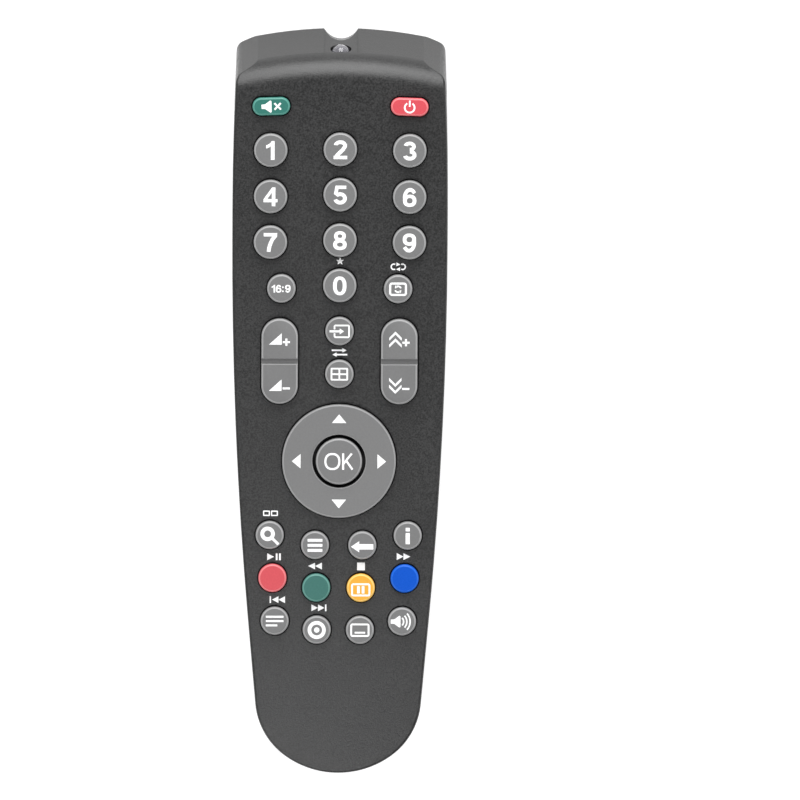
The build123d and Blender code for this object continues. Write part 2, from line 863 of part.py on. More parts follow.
def door_latch():
    """Springy tab in the door's notch, on a leaf that bends from the door's bar."""
    half = latch_width / 2
    high = scoop_floor - latch_gap
    low = high - latch_thickness
    side_y = latch_top - latch_arch_rise
    end = latch_top - latch_length
    tab_plan = make_face(
        [
            Polyline((-half, side_y), (-half, end), (half, end), (half, side_y)),
            ThreePointArc((-half, side_y), (0, latch_top), (half, side_y)),
        ]
    )
    half = latch_leaf_width / 2
    back = latch_leaf_y - latch_leaf_thickness
    leaf = block((-half, back, low), (half, latch_leaf_y, latch_leaf_height))
    nib_low = scoop_floor + scoop_wall + 2 * latch_gap
    nib_end = latch_leaf_y + latch_nib
    nib = block((-half, latch_leaf_y, nib_low), (half, nib_end, nib_low + latch_nib_height))
    return joined([raised(tab_plan, low, high), leaf, nib])


def cell(x, direction, plus_y):
    """One cell along Y, whose plus end points up or down the case."""
    can_length = cell_length - cell_nub_length
    can = Cylinder(cell_diameter / 2, can_length)
    can = fillet(can.edges(), cell_edge_radius)
    nub = Pos(0, 0, cell_length / 2) * Cylinder(cell_nub_diameter / 2, cell_nub_length)
    middle = plus_y - direction * (cell_nub_length + can_length / 2)
    return Pos(x, middle, cell_z) * Rot(-90 * direction, 0, 0) * (can + nub)


def contact(x):
    """Flat contact plate at the top end of the bay, with a tab up to the board."""
    back = bay_top - contact_thickness
    half = contact_width / 2
    high = bay_roof - contact_roof_gap
    plate = block((x - half, back, contact_bottom), (x + half, bay_top, high))
    half = contact_tab_width / 2
    tab = block((x - half, back, high - contact_tab_root), (x + half, bay_top, board_z))
    return plate + tab


def contact_bridge():
    """Plate at the bottom end of the bay that joins the two cells."""
    half = bridge_width / 2
    low = (-half, bay_bottom, contact_bottom)
    return block(low, (half, bay_bottom + contact_thickness, contact_bottom + bridge_height))


def spring(x, base_y, direction):
    """Conical contact spring along Y, widest at its plate, with both ends lying flat."""
    height = spring_length - spring_wire
    rising = spring_turns - 2 * spring_flat_turns
    steps = round(spring_turns * spring_turn_steps)
    rings = []
    for step in range(steps + 1):
        turns = spring_turns * step / steps
        share = min(max((turns - spring_flat_turns) / rising, 0.0), 1.0)
        radius = spring_base_radius + (spring_tip_radius - spring_base_radius) * share
        angle = 2 * math.pi * turns
        out = Vector(math.cos(angle), math.sin(angle), 0)
        centre = out * radius + Vector(0, 0, spring_wire / 2 + height * share)
        across = Plane(origin=centre, x_dir=out, z_dir=(-math.sin(angle), math.cos(angle), 0))
        rings.append(across * Circle(spring_wire / 2))
    return Pos(x, base_y, cell_z) * Rot(-90 * direction, 0, 0) * loft(rings, ruled=True)


def circuit_board():
    """Flat board that the mat lies on, with two holes for the lamp's wires."""
    board = sides(board_inset) & block((-far, board_bottom, board_z), (far, board_top, board_face))
    for x in (-lead_pitch / 2, lead_pitch / 2):
        board = board - post(x, lead_y, lead_hole_diameter / 2, board_z - reach, board_face + reach)
    return board


def keypad_mat():
    """Rubber sheet on the board, open under every key."""
    top = board_top - mat_end_margin
    mat = sides(mat_inset) & block((-far, board_bottom, board_face), (far, top, mat_face))
    high = mat_face + reach
    low = board_face - reach
    for x, y, plan, _, _ in push_keys().values():
        mat = mat - Pos(x, y, 0) * raised(plan(mat_hole_clearance - stem_inset), low, high)
    for x, y in rocker_places.values():
        for step in (-rocker_pill_pitch / 2, rocker_pill_pitch / 2):
            mat = mat - post(x, y + step, rocker_pill_radius + mat_hole_clearance, low, high)
    mat = mat - post(0, ring_y, ok_stem_radius + mat_hole_clearance, low, high)
    for x, y in ring_pill_places:
        mat = mat - post(x, y, ring_pill_size + mat_hole_clearance, low, high)
    return mat


def ir_led():
    """Infrared lamp: a domed lens on a short rim, pointing out of the end."""
    radius = lamp_diameter / 2
    straight = lamp_length - radius
    lens = Pos(0, 0, straight / 2) * Cylinder(radius, straight)
    dome = Pos(0, 0, straight) * Sphere(radius)
    rim = Pos(0, 0, lamp_rim_length / 2) * Cylinder(lamp_rim_diameter / 2, lamp_rim_length)
    return Pos(0, lamp_base_y, lamp_height) * Rot(-90, 0, 0) * (lens + dome + rim)


def ir_led_leads():
    """The lamp's two wires, bent up through the board."""
    wires = []
    for x in (-lead_pitch / 2, lead_pitch / 2):
        route = FilletPolyline(
            (x, lamp_base_y, lamp_height),
            (x, lead_y, lamp_height),
            (x, lead_y, board_face + lead_stub),
            radius=lead_bend_radius,
        )
        start = Plane(origin=route @ 0, z_dir=route % 0)
        wires.append(sweep(start * Circle(lead_diameter / 2), path=route))
    return Compound(wires)


def controller_chip():
    """Flat chip under the board, with its two rows of pins."""
    high = board_z - chip_lift
    half = chip_width / 2
    end = chip_length / 2
    parts = [block((-half, chip_y - end, high - chip_height), (half, chip_y + end, high))]
    first = chip_y - pin_pitch * (pin_rows - 1) / 2
    for row in range(pin_rows):
        low_y = first + row * pin_pitch - pin_width / 2
        for side in (-1, 1):
            inner, outer = sorted((side * (half - pin_root), side * (half + pin_reach)))
            low = (inner, low_y, board_z - pin_thickness)
            parts.append(block(low, (outer, low_y + pin_width, board_z)))
    return joined(parts)


def resonator():
    """Oval metal can that times the chip."""
    slot = SlotOverall(resonator_length, resonator_width)
    return Pos(*resonator_place) * raised(slot, board_z - resonator_height, board_z)


def capacitor():
    """Upright round capacitor under the board."""
    can = post(*capacitor_place, capacitor_diameter / 2, board_z - capacitor_height, board_z)
    return fillet(can.edges().sort_by(Axis.Z)[0], capacitor_edge_radius)


def board_parts():
    """The lamp's driver transistor and a row of small resistors."""
    x, y = driver_place
    radius = driver_diameter / 2
    body = post(x, y, radius, board_z - driver_height, board_z)
    parts = [body - block((x - far, y - far, 0), (x - driver_flat, y + far, far))]
    width, length, height = resistor_size
    x, first = resistor_place
    for row in range(resistor_count):
        y = first + row * resistor_pitch
        low = (x - width / 2, y - length / 2, board_z - height)
        parts.append(block(low, (x + width / 2, y + length / 2, board_z)))
    return Compound(parts)


def round_key(diameter):
    return lambda grow: Circle(diameter / 2 + grow)


def pill_key(turn):
    """Outline of an oval key, turned to lie along the end of the case."""
    return lambda grow: Rot(0, 0, turn) * SlotOverall(
        pill_key_length + 2 * grow, pill_key_width + 2 * grow
    )


def rocker_plan(grow=0.0):
    return Rot(0, 0, 90) * SlotOverall(rocker_length + 2 * grow, rocker_width + 2 * grow)


def push_keys():
    """Every key that moves straight down: place, outline, half size and height above the face."""
    keys = {}
    for name, (x, y) in digit_places.items():
        keys[name] = (x, y, round_key(digit_diameter), (digit_diameter / 2,) * 2, digit_height)
    for name, (x, y) in small_places.items():
        keys[name] = (x, y, round_key(small_diameter), (small_diameter / 2,) * 2, small_height)
    for name, (x, y) in low_places.items():
        keys[name] = (x, y, round_key(low_diameter), (low_diameter / 2,) * 2, low_height)
    for name, (x, y) in pill_places.items():
        turn = -pill_key_tilt if x > 0 else pill_key_tilt
        half = (pill_key_length / 2, pill_key_width / 2)
        keys[name] = (x, y, pill_key(turn), half, pill_key_height)
    return keys


def flange_top(x, y, half_x, half_y, rise=0.0):
    """Highest place for a key's flange under the inside of the key face."""
    edge = key_clearance + key_flange
    low = face_z(abs(x) + half_x + edge, y - half_y - edge)
    return low - face_wall - key_slack - rise


def bevelled(plan, low, high, bevel):
    """Upright key body with a bevel round its top."""
    body = raised(plan, low, high)
    return chamfer(body.faces().sort_by(Axis.Z)[-1].edges(), bevel)


def push_key(x, y, plan, half, height):
    """Key cap on a flange and stem, with its carbon contact under the stem."""
    high = flange_top(x, y, half[0], half[1])
    low = high - key_flange_thickness
    cap = bevelled(plan(0), low, face_z(x, y) + height, key_bevel)
    flange = raised(plan(key_clearance + key_flange), low, high)
    stem = raised(plan(-stem_inset), pill_rest + pill_thickness, low)
    pill = raised(plan(-stem_inset), pill_rest, pill_rest + pill_thickness)
    return Pos(x, y, 0) * Compound([cap + flange + stem, pill])


def rocker_flange_top(x, y):
    """Flange height that leaves room for the end of a tipped rocker."""
    end = rocker_length / 2 + key_clearance + key_flange
    rise = end * math.sin(math.radians(rocker_tilt))
    return flange_top(x, y, rocker_width / 2, rocker_length / 2, rise)


def rocker(x, y):
    """Long key that tips about its middle, with a groove across it."""
    top = face_z(x, y) + rocker_height
    high = rocker_flange_top(x, y)
    low = high - rocker_flange_thickness
    cap = bevelled(rocker_plan(), low, top, key_bevel)
    half = rocker_groove_width / 2
    cap = cap - block((-far, -half, top - rocker_groove_depth), (far, half, far))
    body = cap + raised(rocker_plan(key_clearance + key_flange), low, high)
    pill_top = rocker_pill_low + pill_thickness
    pills = []
    for step in (-rocker_pill_pitch / 2, rocker_pill_pitch / 2):
        body = body + post(0, step, rocker_pill_radius, pill_top, low)
        pills.append(post(0, step, rocker_pill_radius, rocker_pill_low, pill_top))
    return Pos(x, y, 0) * Compound([body] + pills)


def nav_gimbal():
    """Thin frame under the ring: it tips about X on two nubs and carries the ring's pivots."""
    bore = gimbal_bore / 2
    band = raised(Circle(bore + gimbal_band), gimbal_low, gimbal_top)
    band = band - raised(Circle(bore), gimbal_low - reach, gimbal_top + reach)
    parts = [band]
    pills = []
    half = gimbal_arm_width / 2
    pill_top = nav_pill_low + pill_thickness
    for side in (-1, 1):
        root = side * (gimbal_middle + gimbal_arm_root)
        tip = side * (ring_pill_radius + gimbal_arm_reach)
        inner, outer = sorted((root, tip))
        parts.append(block((-half, inner, gimbal_low), (half, outer, gimbal_top)))
        stem_y = side * ring_pill_radius
        parts.append(post(0, stem_y, ring_pill_size, pill_top, gimbal_low))
        pills.append(post(0, stem_y, ring_pill_size, nav_pill_low, pill_top))
        nub_x = side * gimbal_middle
        parts.append(post(nub_x, 0, gimbal_nub_radius, mat_face + nav_gap, gimbal_low))
    return Pos(0, ring_y, 0) * Compound([joined(parts)] + pills)


def nav_ring():
    """Hollow dished ring round the middle key, tipping about Y on the gimbal."""
    outer = ring_diameter / 2
    bore = ring_bore / 2
    top = face_height + ring_height
    roof = top - ring_roof
    inner_low = face_height - ring_inner_depth
    section = make_face(
        Polyline(
            (bore, inner_low),
            (bore, top - ring_dish),
            (outer - ring_bevel, top),
            (outer, top - ring_bevel),
            (outer, ring_flange_low),
            (outer - ring_wall, ring_flange_low),
            (outer - ring_wall, roof),
            (bore + ring_wall, roof),
            (bore + ring_wall, inner_low),
            (bore, inner_low),
        )
    )
    body = revolve(Plane.XZ * section, Axis.Z)
    flange_radius = outer + key_clearance + ring_flange
    flange = raised(Circle(flange_radius), ring_flange_low, ring_flange_low + key_flange_thickness)
    hole = raised(Circle(outer - ring_wall), ring_flange_low - reach, ring_flange_low + reach)
    parts = [body, flange - hole]
    pills = []
    pill_top = nav_pill_low + pill_thickness
    rib_half = ring_rib_width / 2
    rib_low = gimbal_top + nav_gap
    for side in (-1, 1):
        x = side * ring_pill_radius
        parts.append(post(x, 0, ring_pill_size, pill_top, roof + ring_rib_root))
        pills.append(post(x, 0, ring_pill_size, nav_pill_low, pill_top))
        near = side * (gimbal_middle - ring_rib_inner)
        away = side * (gimbal_middle + ring_rib_outer)
        low_y, high_y = sorted((near, away))
        parts.append(block((-rib_half, low_y, rib_low), (rib_half, high_y, roof + ring_rib_root)))
    return Pos(0, ring_y, 0) * Compound([joined(parts)] + pills)


def key_ok():
    """Round key inside the ring, held down by the ring's inner wall."""
    low = face_height - ok_flange_depth
    cap = bevelled(Circle(ok_diameter / 2), low, face_height + ok_height, key_bevel)
    flange = raised(Circle(ok_flange_radius), low, low + ok_flange_thickness)
    stem = raised(Circle(ok_stem_radius), pill_rest + pill_thickness, low)
    pill = raised(Circle(ok_stem_radius), pill_rest, pill_rest + pill_thickness)
    return Pos(0, ring_y, 0) * Compound([cap + flange + stem, pill])


def main():
    os.makedirs("parts", exist_ok=True)
    outside = case_form()
    nodes = {
        "front_shell": front_shell(outside),
        "rear_shell": rear_shell(outside),
        "battery_door": battery_door(),
        "door_latch": door_latch(),
        "keypad_mat": keypad_mat(),
        "circuit_board": circuit_board(),
        "ir_led": ir_led(),
        "ir_led_leads": ir_led_leads(),
        "controller_chip": controller_chip(),
        "resonator": resonator(),
        "capacitor": capacitor(),
        "board_parts": board_parts(),
        "battery_left": cell(-cell_x, 1, bay_top - contact_thickness),
        "battery_right": cell(cell_x, -1, bay_bottom + contact_thickness),
        "contact_plus": contact(-cell_x),
        "contact_minus": contact(cell_x),
        "contact_bridge": contact_bridge(),
        "spring_left": spring(-cell_x, bay_bottom + contact_thickness, 1),
        "spring_right": spring(cell_x, bay_top - contact_thickness, -1),
        "nav_gimbal": nav_gimbal(),
        "nav_ring": nav_ring(),
        "key_ok": key_ok(),
    }
    for name, (x, y, plan, half, height) in push_keys().items():
        nodes[name] = push_key(x, y, plan, half, height)
    for name, (x, y) in rocker_places.items():
        nodes[name] = rocker(x, y)
    for name, solid in nodes.items():
        export_step(solid, f"parts/{name}.step")
        print(name, len(solid.solids()), round(solid.volume, 1))


if __name__ == "__main__":
    main()
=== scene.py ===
import json
import math

import bpy
from mathutils import Matrix, Vector

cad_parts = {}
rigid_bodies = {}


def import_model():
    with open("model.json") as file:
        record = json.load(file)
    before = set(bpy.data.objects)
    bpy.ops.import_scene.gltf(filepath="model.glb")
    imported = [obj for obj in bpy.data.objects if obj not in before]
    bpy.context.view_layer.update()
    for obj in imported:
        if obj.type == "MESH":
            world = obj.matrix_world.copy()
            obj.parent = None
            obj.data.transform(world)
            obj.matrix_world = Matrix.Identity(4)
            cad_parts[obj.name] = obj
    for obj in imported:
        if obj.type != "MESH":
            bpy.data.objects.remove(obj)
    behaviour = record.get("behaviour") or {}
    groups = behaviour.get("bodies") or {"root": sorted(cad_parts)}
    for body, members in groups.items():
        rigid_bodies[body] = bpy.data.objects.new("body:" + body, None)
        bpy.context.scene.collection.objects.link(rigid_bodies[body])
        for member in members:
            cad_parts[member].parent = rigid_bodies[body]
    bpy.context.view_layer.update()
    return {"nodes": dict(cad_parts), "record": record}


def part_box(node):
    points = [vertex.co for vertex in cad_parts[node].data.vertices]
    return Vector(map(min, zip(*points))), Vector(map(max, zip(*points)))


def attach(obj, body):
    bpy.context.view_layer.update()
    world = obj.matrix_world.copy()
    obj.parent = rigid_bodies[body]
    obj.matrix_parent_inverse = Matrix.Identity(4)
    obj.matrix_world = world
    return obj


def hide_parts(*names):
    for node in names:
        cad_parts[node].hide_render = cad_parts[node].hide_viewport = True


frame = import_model()

mm = 0.001  # the scene is in metres

# camera above the key face, leaning a little over the lamp end, in mm and degrees
cameraView = {
    "frameWidth": 220.9,  # mm across the picture at the distance of the aim
    "distance": 5000.0,
    "aim": (16.75, 0.7, 17.4),
    "lean": 5.0,
    "roll": 0.26,
    "sensor": 36.0,
    "clipEnd": 20.0,  # metres
}

bpy.ops.object.select_all(action="DESELECT")
lean = math.radians(cameraView["lean"])
cameraTurn = Matrix.Rotation(-lean, 4, "X") @ Matrix.Rotation(math.radians(cameraView["roll"]), 4, "Z")
cameraStand = Vector((0.0, math.sin(lean), math.cos(lean))) * cameraView["distance"]
bpy.ops.object.camera_add(
    location=(Vector(cameraView["aim"]) + cameraStand) * mm, rotation=cameraTurn.to_euler()
)
camera = bpy.context.object
camera.name = "camera"
camera.data.sensor_width = cameraView["sensor"]
camera.data.lens = cameraView["sensor"] * cameraView["distance"] / cameraView["frameWidth"]
camera.data.clip_end = cameraView["clipEnd"]
bpy.context.scene.camera = camera
bpy.context.scene.view_settings.view_transform = "Standard"

# soft lamps: place in metres, side of the square, watts
studioLamps = {
    "lampOverhead": {"place": (-0.12, -0.55, 1.0), "side": 0.4, "power": 4.9},
    "lampLowerLeft": {"place": (-1.05, -0.8, 0.35), "side": 0.8, "power": 4.2},
    "lampTopEnd": {"place": (0.0, 1.09, 0.7), "side": 1.05, "power": 23.0},
    "lampRight": {"place": (1.2, 0.0, 0.32), "side": 0.7, "power": 3.6},
    "lampUnder": {"place": (-0.25, 0.3, -1.15), "side": 0.5, "power": 8.0},
}
lampAim = (0.0, 0.0, 0.02)
worldLook = {"tint": (0.97, 0.98, 1.0, 1.0), "glow": 0.27}

for lampName, lamp in studioLamps.items():
    aim = Vector(lampAim) - Vector(lamp["place"])
    bpy.ops.object.light_add(
        type="AREA", location=lamp["place"], rotation=aim.to_track_quat("-Z", "Y").to_euler()
    )
    light = bpy.context.object
    light.name = lampName
    light.data.size = lamp["side"]
    light.data.energy = lamp["power"]
    light.visible_camera = False


def newNodes(tree):
    tree.nodes.clear()
    return tree.nodes, tree.links


def mathStep(nodes, links, operation, first, second):
    # each side is a plain number or what another node gives
    step = nodes.new("ShaderNodeMath")
    step.operation = operation
    for socket, value in zip(step.inputs, (first, second)):
        if isinstance(value, float):
            socket.default_value = value
        else:
            links.new(value, socket)
    return step.outputs[0]


def seenByEye(nodes, links):
    # one for camera, glossy and transmission rays
    path = nodes.new("ShaderNodeLightPath")
    direct = mathStep(
        nodes, links, "MAXIMUM", path.outputs["Is Camera Ray"], path.outputs["Is Glossy Ray"]
    )
    return mathStep(nodes, links, "MAXIMUM", direct, path.outputs["Is Transmission Ray"])


# world: a soft even glow on the object, plain white to the camera
world = bpy.data.worlds.new("studioWorld")
bpy.context.scene.world = world
world.use_nodes = True
nodes, links = newNodes(world.node_tree)
worldPath = nodes.new("ShaderNodeLightPath")
soft = nodes.new("ShaderNodeBackground")
soft.inputs["Color"].default_value = worldLook["tint"]
soft.inputs["Strength"].default_value = worldLook["glow"]
white = nodes.new("ShaderNodeBackground")
white.inputs["Color"].default_value = (1.0, 1.0, 1.0, 1.0)
white.inputs["Strength"].default_value = 1.0
worldMix = nodes.new("ShaderNodeMixShader")
worldOut = nodes.new("ShaderNodeOutputWorld")
links.new(worldPath.outputs["Is Camera Ray"], worldMix.inputs[0])
links.new(soft.outputs[0], worldMix.inputs[1])
links.new(white.outputs[0], worldMix.inputs[2])
links.new(worldMix.outputs[0], worldOut.inputs["Surface"])

# pale floor: shows white with a soft shadow, and lets the lamp underneath through
floorLook = {"side": 3.4, "drop": 0.05, "paper": 0.36, "glow": 0.8}  # side in metres, drop in mm

bpy.ops.mesh.primitive_plane_add(size=floorLook["side"], location=(0, 0, -floorLook["drop"] * mm))
floor = bpy.context.object
floor.name = "floor"
floorPaint = bpy.data.materials.new("floorPaper")
floorPaint.use_nodes = True
nodes, links = newNodes(floorPaint.node_tree)
paper = nodes.new("ShaderNodeBsdfDiffuse")
paper.inputs["Color"].default_value = (floorLook["paper"],) * 3 + (1.0,)
glow = nodes.new("ShaderNodeEmission")
glow.inputs["Strength"].default_value = floorLook["glow"]
lit = nodes.new("ShaderNodeAddShader")
clear = nodes.new("ShaderNodeBsdfTransparent")
side = nodes.new("ShaderNodeNewGeometry")
fromAbove = mathStep(nodes, links, "SUBTRACT", 1.0, side.outputs["Backfacing"])
shown = mathStep(nodes, links, "MULTIPLY", fromAbove, seenByEye(nodes, links))
floorMix = nodes.new("ShaderNodeMixShader")
floorOut = nodes.new("ShaderNodeOutputMaterial")
links.new(paper.outputs[0], lit.inputs[0])
links.new(glow.outputs[0], lit.inputs[1])
links.new(shown, floorMix.inputs[0])
links.new(clear.outputs[0], floorMix.inputs[1])
links.new(lit.outputs[0], floorMix.inputs[2])
links.new(floorMix.outputs[0], floorOut.inputs["Surface"])
floor.data.materials.append(floorPaint)
print("studio set: camera, lamps and floor")


# finishes
def fromScreen(level):
    # screen grey or colour, 0 to 255, to a linear value
    level = level / 255.0
    return level / 12.92 if level <= 0.04045 else ((level + 0.055) / 1.055) ** 2.4


def tint(red, green, blue, scale=1.0):
    return tuple(min(1.0, fromScreen(level) * scale) for level in (red, green, blue)) + (1.0,)


def shade(colour, factor, lift=0.0):
    # a darker or paler copy of a colour
    return tuple(min(1.0, part * factor + lift) for part in colour[:3]) + (1.0,)


def startFinish(name):
    finish = bpy.data.materials.new(name)
    finish.use_nodes = True
    nodes, links = newNodes(finish.node_tree)
    shader = nodes.new("ShaderNodeBsdfPrincipled")
    output = nodes.new("ShaderNodeOutputMaterial")
    links.new(shader.outputs[0], output.inputs["Surface"])
    place = nodes.new("ShaderNodeTexCoord")
    return finish, nodes, links, shader, place.outputs["Object"]


def noiseAt(nodes, links, place, size, detail, rough):
    # size in mm
    noise = nodes.new("ShaderNodeTexNoise")
    noise.inputs["Scale"].default_value = 1.0 / (size * mm)
    noise.inputs["Detail"].default_value = detail
    noise.inputs["Roughness"].default_value = rough
    links.new(place, noise.inputs["Vector"])
    return noise.outputs["Fac"]


def twoTone(nodes, links, value, dark, pale, low=0.3, high=0.7):
    ramp = nodes.new("ShaderNodeValToRGB")
    ramp.color_ramp.elements[0].position = low
    ramp.color_ramp.elements[0].color = dark
    ramp.color_ramp.elements[1].position = high
    ramp.color_ramp.elements[1].color = pale
    links.new(value, ramp.inputs["Fac"])
    return ramp.outputs["Color"]


def unevenGloss(nodes, links, shader, value, roughness, look, low=0.3, high=0.7):
    # a little glossier where the value is low, a little duller where it is high
    span = nodes.new("ShaderNodeMapRange")
    span.inputs["From Min"].default_value = low
    span.inputs["From Max"].default_value = high
    span.inputs["To Min"].default_value = roughness - look["glossier"]
    span.inputs["To Max"].default_value = roughness + look["duller"]
    links.new(value, span.inputs["Value"])
    links.new(span.outputs["Result"], shader.inputs["Roughness"])


def bumpFrom(nodes, links, height, depth):
    # depth in mm
    bump = nodes.new("ShaderNodeBump")
    bump.inputs["Strength"].default_value = 1.0
    bump.inputs["Distance"].default_value = depth * mm
    links.new(height, bump.inputs["Height"])
    return bump.outputs["Normal"]


sparkLook = {
    "grain": 0.46,
    "mottle": 14.0,
    "mottleShare": 0.1,
    "rampLow": 0.4,
    "rampHigh": 0.6,
    "glossier": 0.06,
    "duller": 0.08,
}


def sparkPlastic(name, colour, spread, roughness, grainDepth):
    # moulded plastic with a fine spark texture, a faint mottle and uneven gloss
    finish, nodes, links, shader, place = startFinish(name)
    grain = noiseAt(nodes, links, place, sparkLook["grain"], detail=3.0, rough=0.65)
    mottle = noiseAt(nodes, links, place, sparkLook["mottle"], detail=4.0, rough=0.6)
    share = sparkLook["mottleShare"]
    fine = mathStep(nodes, links, "MULTIPLY", grain, 1 - share)
    coarse = mathStep(nodes, links, "MULTIPLY", mottle, share)
    blend = mathStep(nodes, links, "ADD", fine, coarse)
    low, high = sparkLook["rampLow"], sparkLook["rampHigh"]
    dark, pale = shade(colour, 1 - spread), shade(colour, 1 + spread)
    links.new(twoTone(nodes, links, blend, dark, pale, low, high), shader.inputs["Base Color"])
    unevenGloss(nodes, links, shader, blend, roughness, sparkLook, low, high)
    links.new(bumpFrom(nodes, links, grain, grainDepth), shader.inputs["Normal"])
    return finish


rubberLook = {
    "skin": 0.5,
    "skinDepth": 0.004,
    "cloud": 5.0,
    "dark": 0.955,
    "pale": 1.03,
    "dust": 0.003,
    "glossier": 0.05,
    "duller": 0.06,
    "sheen": 0.03,
    "sheenSpread": 0.5,
}


def keyRubber(name, colour, roughness=0.58, shine=0.36):
    # silicone rubber: even colour, soft skin, a trace of dust
    finish, nodes, links, shader, place = startFinish(name)
    skin = noiseAt(nodes, links, place, rubberLook["skin"], detail=3.0, rough=0.6)
    cloud = noiseAt(nodes, links, place, rubberLook["cloud"], detail=3.0, rough=0.5)
    dark = shade(colour, rubberLook["dark"])
    pale = shade(colour, rubberLook["pale"], rubberLook["dust"])
    links.new(twoTone(nodes, links, skin, dark, pale), shader.inputs["Base Color"])
    unevenGloss(nodes, links, shader, cloud, roughness, rubberLook)
    links.new(bumpFrom(nodes, links, skin, rubberLook["skinDepth"]), shader.inputs["Normal"])
    shader.inputs["Specular IOR Level"].default_value = shine
    shader.inputs["Sheen Weight"].default_value = rubberLook["sheen"]
    shader.inputs["Sheen Roughness"].default_value = rubberLook["sheenSpread"]
    return finish


plainLook = {"dark": 0.9, "pale": 1.08, "glossier": 0.05, "duller": 0.05}


def plainPlastic(name, colour, roughness, size=0.8, depth=0.006):
    # smooth plastic, rubber sheet or ink with a faint skin of this size and depth
    finish, nodes, links, shader, place = startFinish(name)
    skin = noiseAt(nodes, links, place, size, detail=4.0, rough=0.6)
    dark, pale = shade(colour, plainLook["dark"]), shade(colour, plainLook["pale"])
    links.new(twoTone(nodes, links, skin, dark, pale), shader.inputs["Base Color"])
    unevenGloss(nodes, links, shader, skin, roughness, plainLook)
    links.new(bumpFrom(nodes, links, skin, depth), shader.inputs["Normal"])
    return finish


steelLook = {
    "grain": 0.25,
    "stretch": (1.0, 0.08, 1.0),
    "dark": 0.86,
    "roughness": 0.28,
    "glossier": 0.08,
    "duller": 0.1,
    "depth": 0.004,
}


def platedSteel(name, colour):
    # nickel plate, drawn along its length
    finish, nodes, links, shader, place = startFinish(name)
    squeeze = nodes.new("ShaderNodeMapping")
    squeeze.inputs["Scale"].default_value = steelLook["stretch"]
    links.new(place, squeeze.inputs["Vector"])
    along = squeeze.outputs["Vector"]
    grain = noiseAt(nodes, links, along, steelLook["grain"], detail=3.0, rough=0.6)
    dark = shade(colour, steelLook["dark"])
    links.new(twoTone(nodes, links, grain, dark, colour), shader.inputs["Base Color"])
    unevenGloss(nodes, links, shader, grain, steelLook["roughness"], steelLook)
    links.new(bumpFrom(nodes, links, grain, steelLook["depth"]), shader.inputs["Normal"])
    shader.inputs["Metallic"].default_value = 1.0
    return finish


# board greens darkened well past the lacquer's own colour, as painted shade deep in the case
boardLook = {
    "scale": 260.0,
    "gap": 0.06,
    "darkField": (0.006, 0.05, 0.018, 1.0),
    "paleField": (0.008, 0.065, 0.022, 1.0),
    "tracks": (0.018, 0.11, 0.04, 1.0),
    "depth": 0.02,
    "roughness": 0.32,
}


def boardLacquer(name):
    # green lacquer with paler tracks under it, in greens darkened past the lacquer's own as painted
    # shade deep in the case
    finish, nodes, links, shader, place = startFinish(name)
    tracks = nodes.new("ShaderNodeTexBrick")
    tracks.offset = 0.5
    tracks.inputs["Scale"].default_value = boardLook["scale"]
    tracks.inputs["Mortar Size"].default_value = boardLook["gap"]
    tracks.inputs["Color1"].default_value = boardLook["darkField"]
    tracks.inputs["Color2"].default_value = boardLook["paleField"]
    tracks.inputs["Mortar"].default_value = boardLook["tracks"]
    links.new(place, tracks.inputs["Vector"])
    links.new(tracks.outputs["Color"], shader.inputs["Base Color"])
    links.new(bumpFrom(nodes, links, tracks.outputs["Fac"], boardLook["depth"]), shader.inputs["Normal"])
    shader.inputs["Roughness"].default_value = boardLook["roughness"]
    return finish


lensLook = {
    "colour": (0.6, 0.59, 0.64, 1.0),
    "roughness": 0.06,
    "ior": 1.53,
    "clear": 0.72,
    "swirl": 2.0,
    "swirlDepth": 0.01,
}


def smokyLens(name):
    # clear resin with a slow swirl in its surface
    finish, nodes, links, shader, place = startFinish(name)
    swirl = noiseAt(nodes, links, place, lensLook["swirl"], detail=2.0, rough=0.5)
    links.new(bumpFrom(nodes, links, swirl, lensLook["swirlDepth"]), shader.inputs["Normal"])
    shader.inputs["Base Color"].default_value = lensLook["colour"]
    shader.inputs["Roughness"].default_value = lensLook["roughness"]
    shader.inputs["IOR"].default_value = lensLook["ior"]
    shader.inputs["Transmission Weight"].default_value = lensLook["clear"]
    return finish


finishes = {
    "front_plastic": sparkPlastic("frontPlastic", tint(60, 60, 60, 0.44), 0.5, 0.37, 0.04),
    "rear_plastic": sparkPlastic("rearPlastic", tint(93, 93, 93, 0.9), 0.36, 0.44, 0.05),
    "key_rubber": keyRubber("keyRubber", tint(114, 114, 114)),
    "ring_rubber": keyRubber("ringRubber", tint(115, 115, 115), 0.52),
    "mute_rubber": keyRubber("muteRubber", tint(42, 110, 99), 0.6, 0.3),
    "power_rubber": keyRubber("powerRubber", tint(206, 72, 82)),
    "red_rubber": keyRubber("redRubber", tint(202, 76, 84)),
    "green_rubber": keyRubber("greenRubber", tint(54, 106, 98)),
    "yellow_rubber": keyRubber("yellowRubber", tint(230, 166, 52)),
    "blue_rubber": keyRubber("blueRubber", tint(0, 80, 190), 0.62, 0.14),
    "mat_rubber": plainPlastic("matRubber", tint(24, 24, 26), 0.7),
    "board_laminate": boardLacquer("boardLacquer"),
    "chip_plastic": plainPlastic("chipResin", tint(28, 28, 30), 0.5, 0.3, 0.01),
    "can_jacket": plainPlastic("capacitorSleeve", tint(24, 30, 62), 0.3),
    "cell_jacket": plainPlastic("cellSleeve", tint(70, 73, 78), 0.28),
    "contact_steel": platedSteel("platedSteel", (0.62, 0.61, 0.58, 1.0)),
    "lamp_lens": smokyLens("lampLens"),
    "legend_print": plainPlastic("whitePrint", tint(255, 255, 255), 0.55, 0.6, 0.003),
}
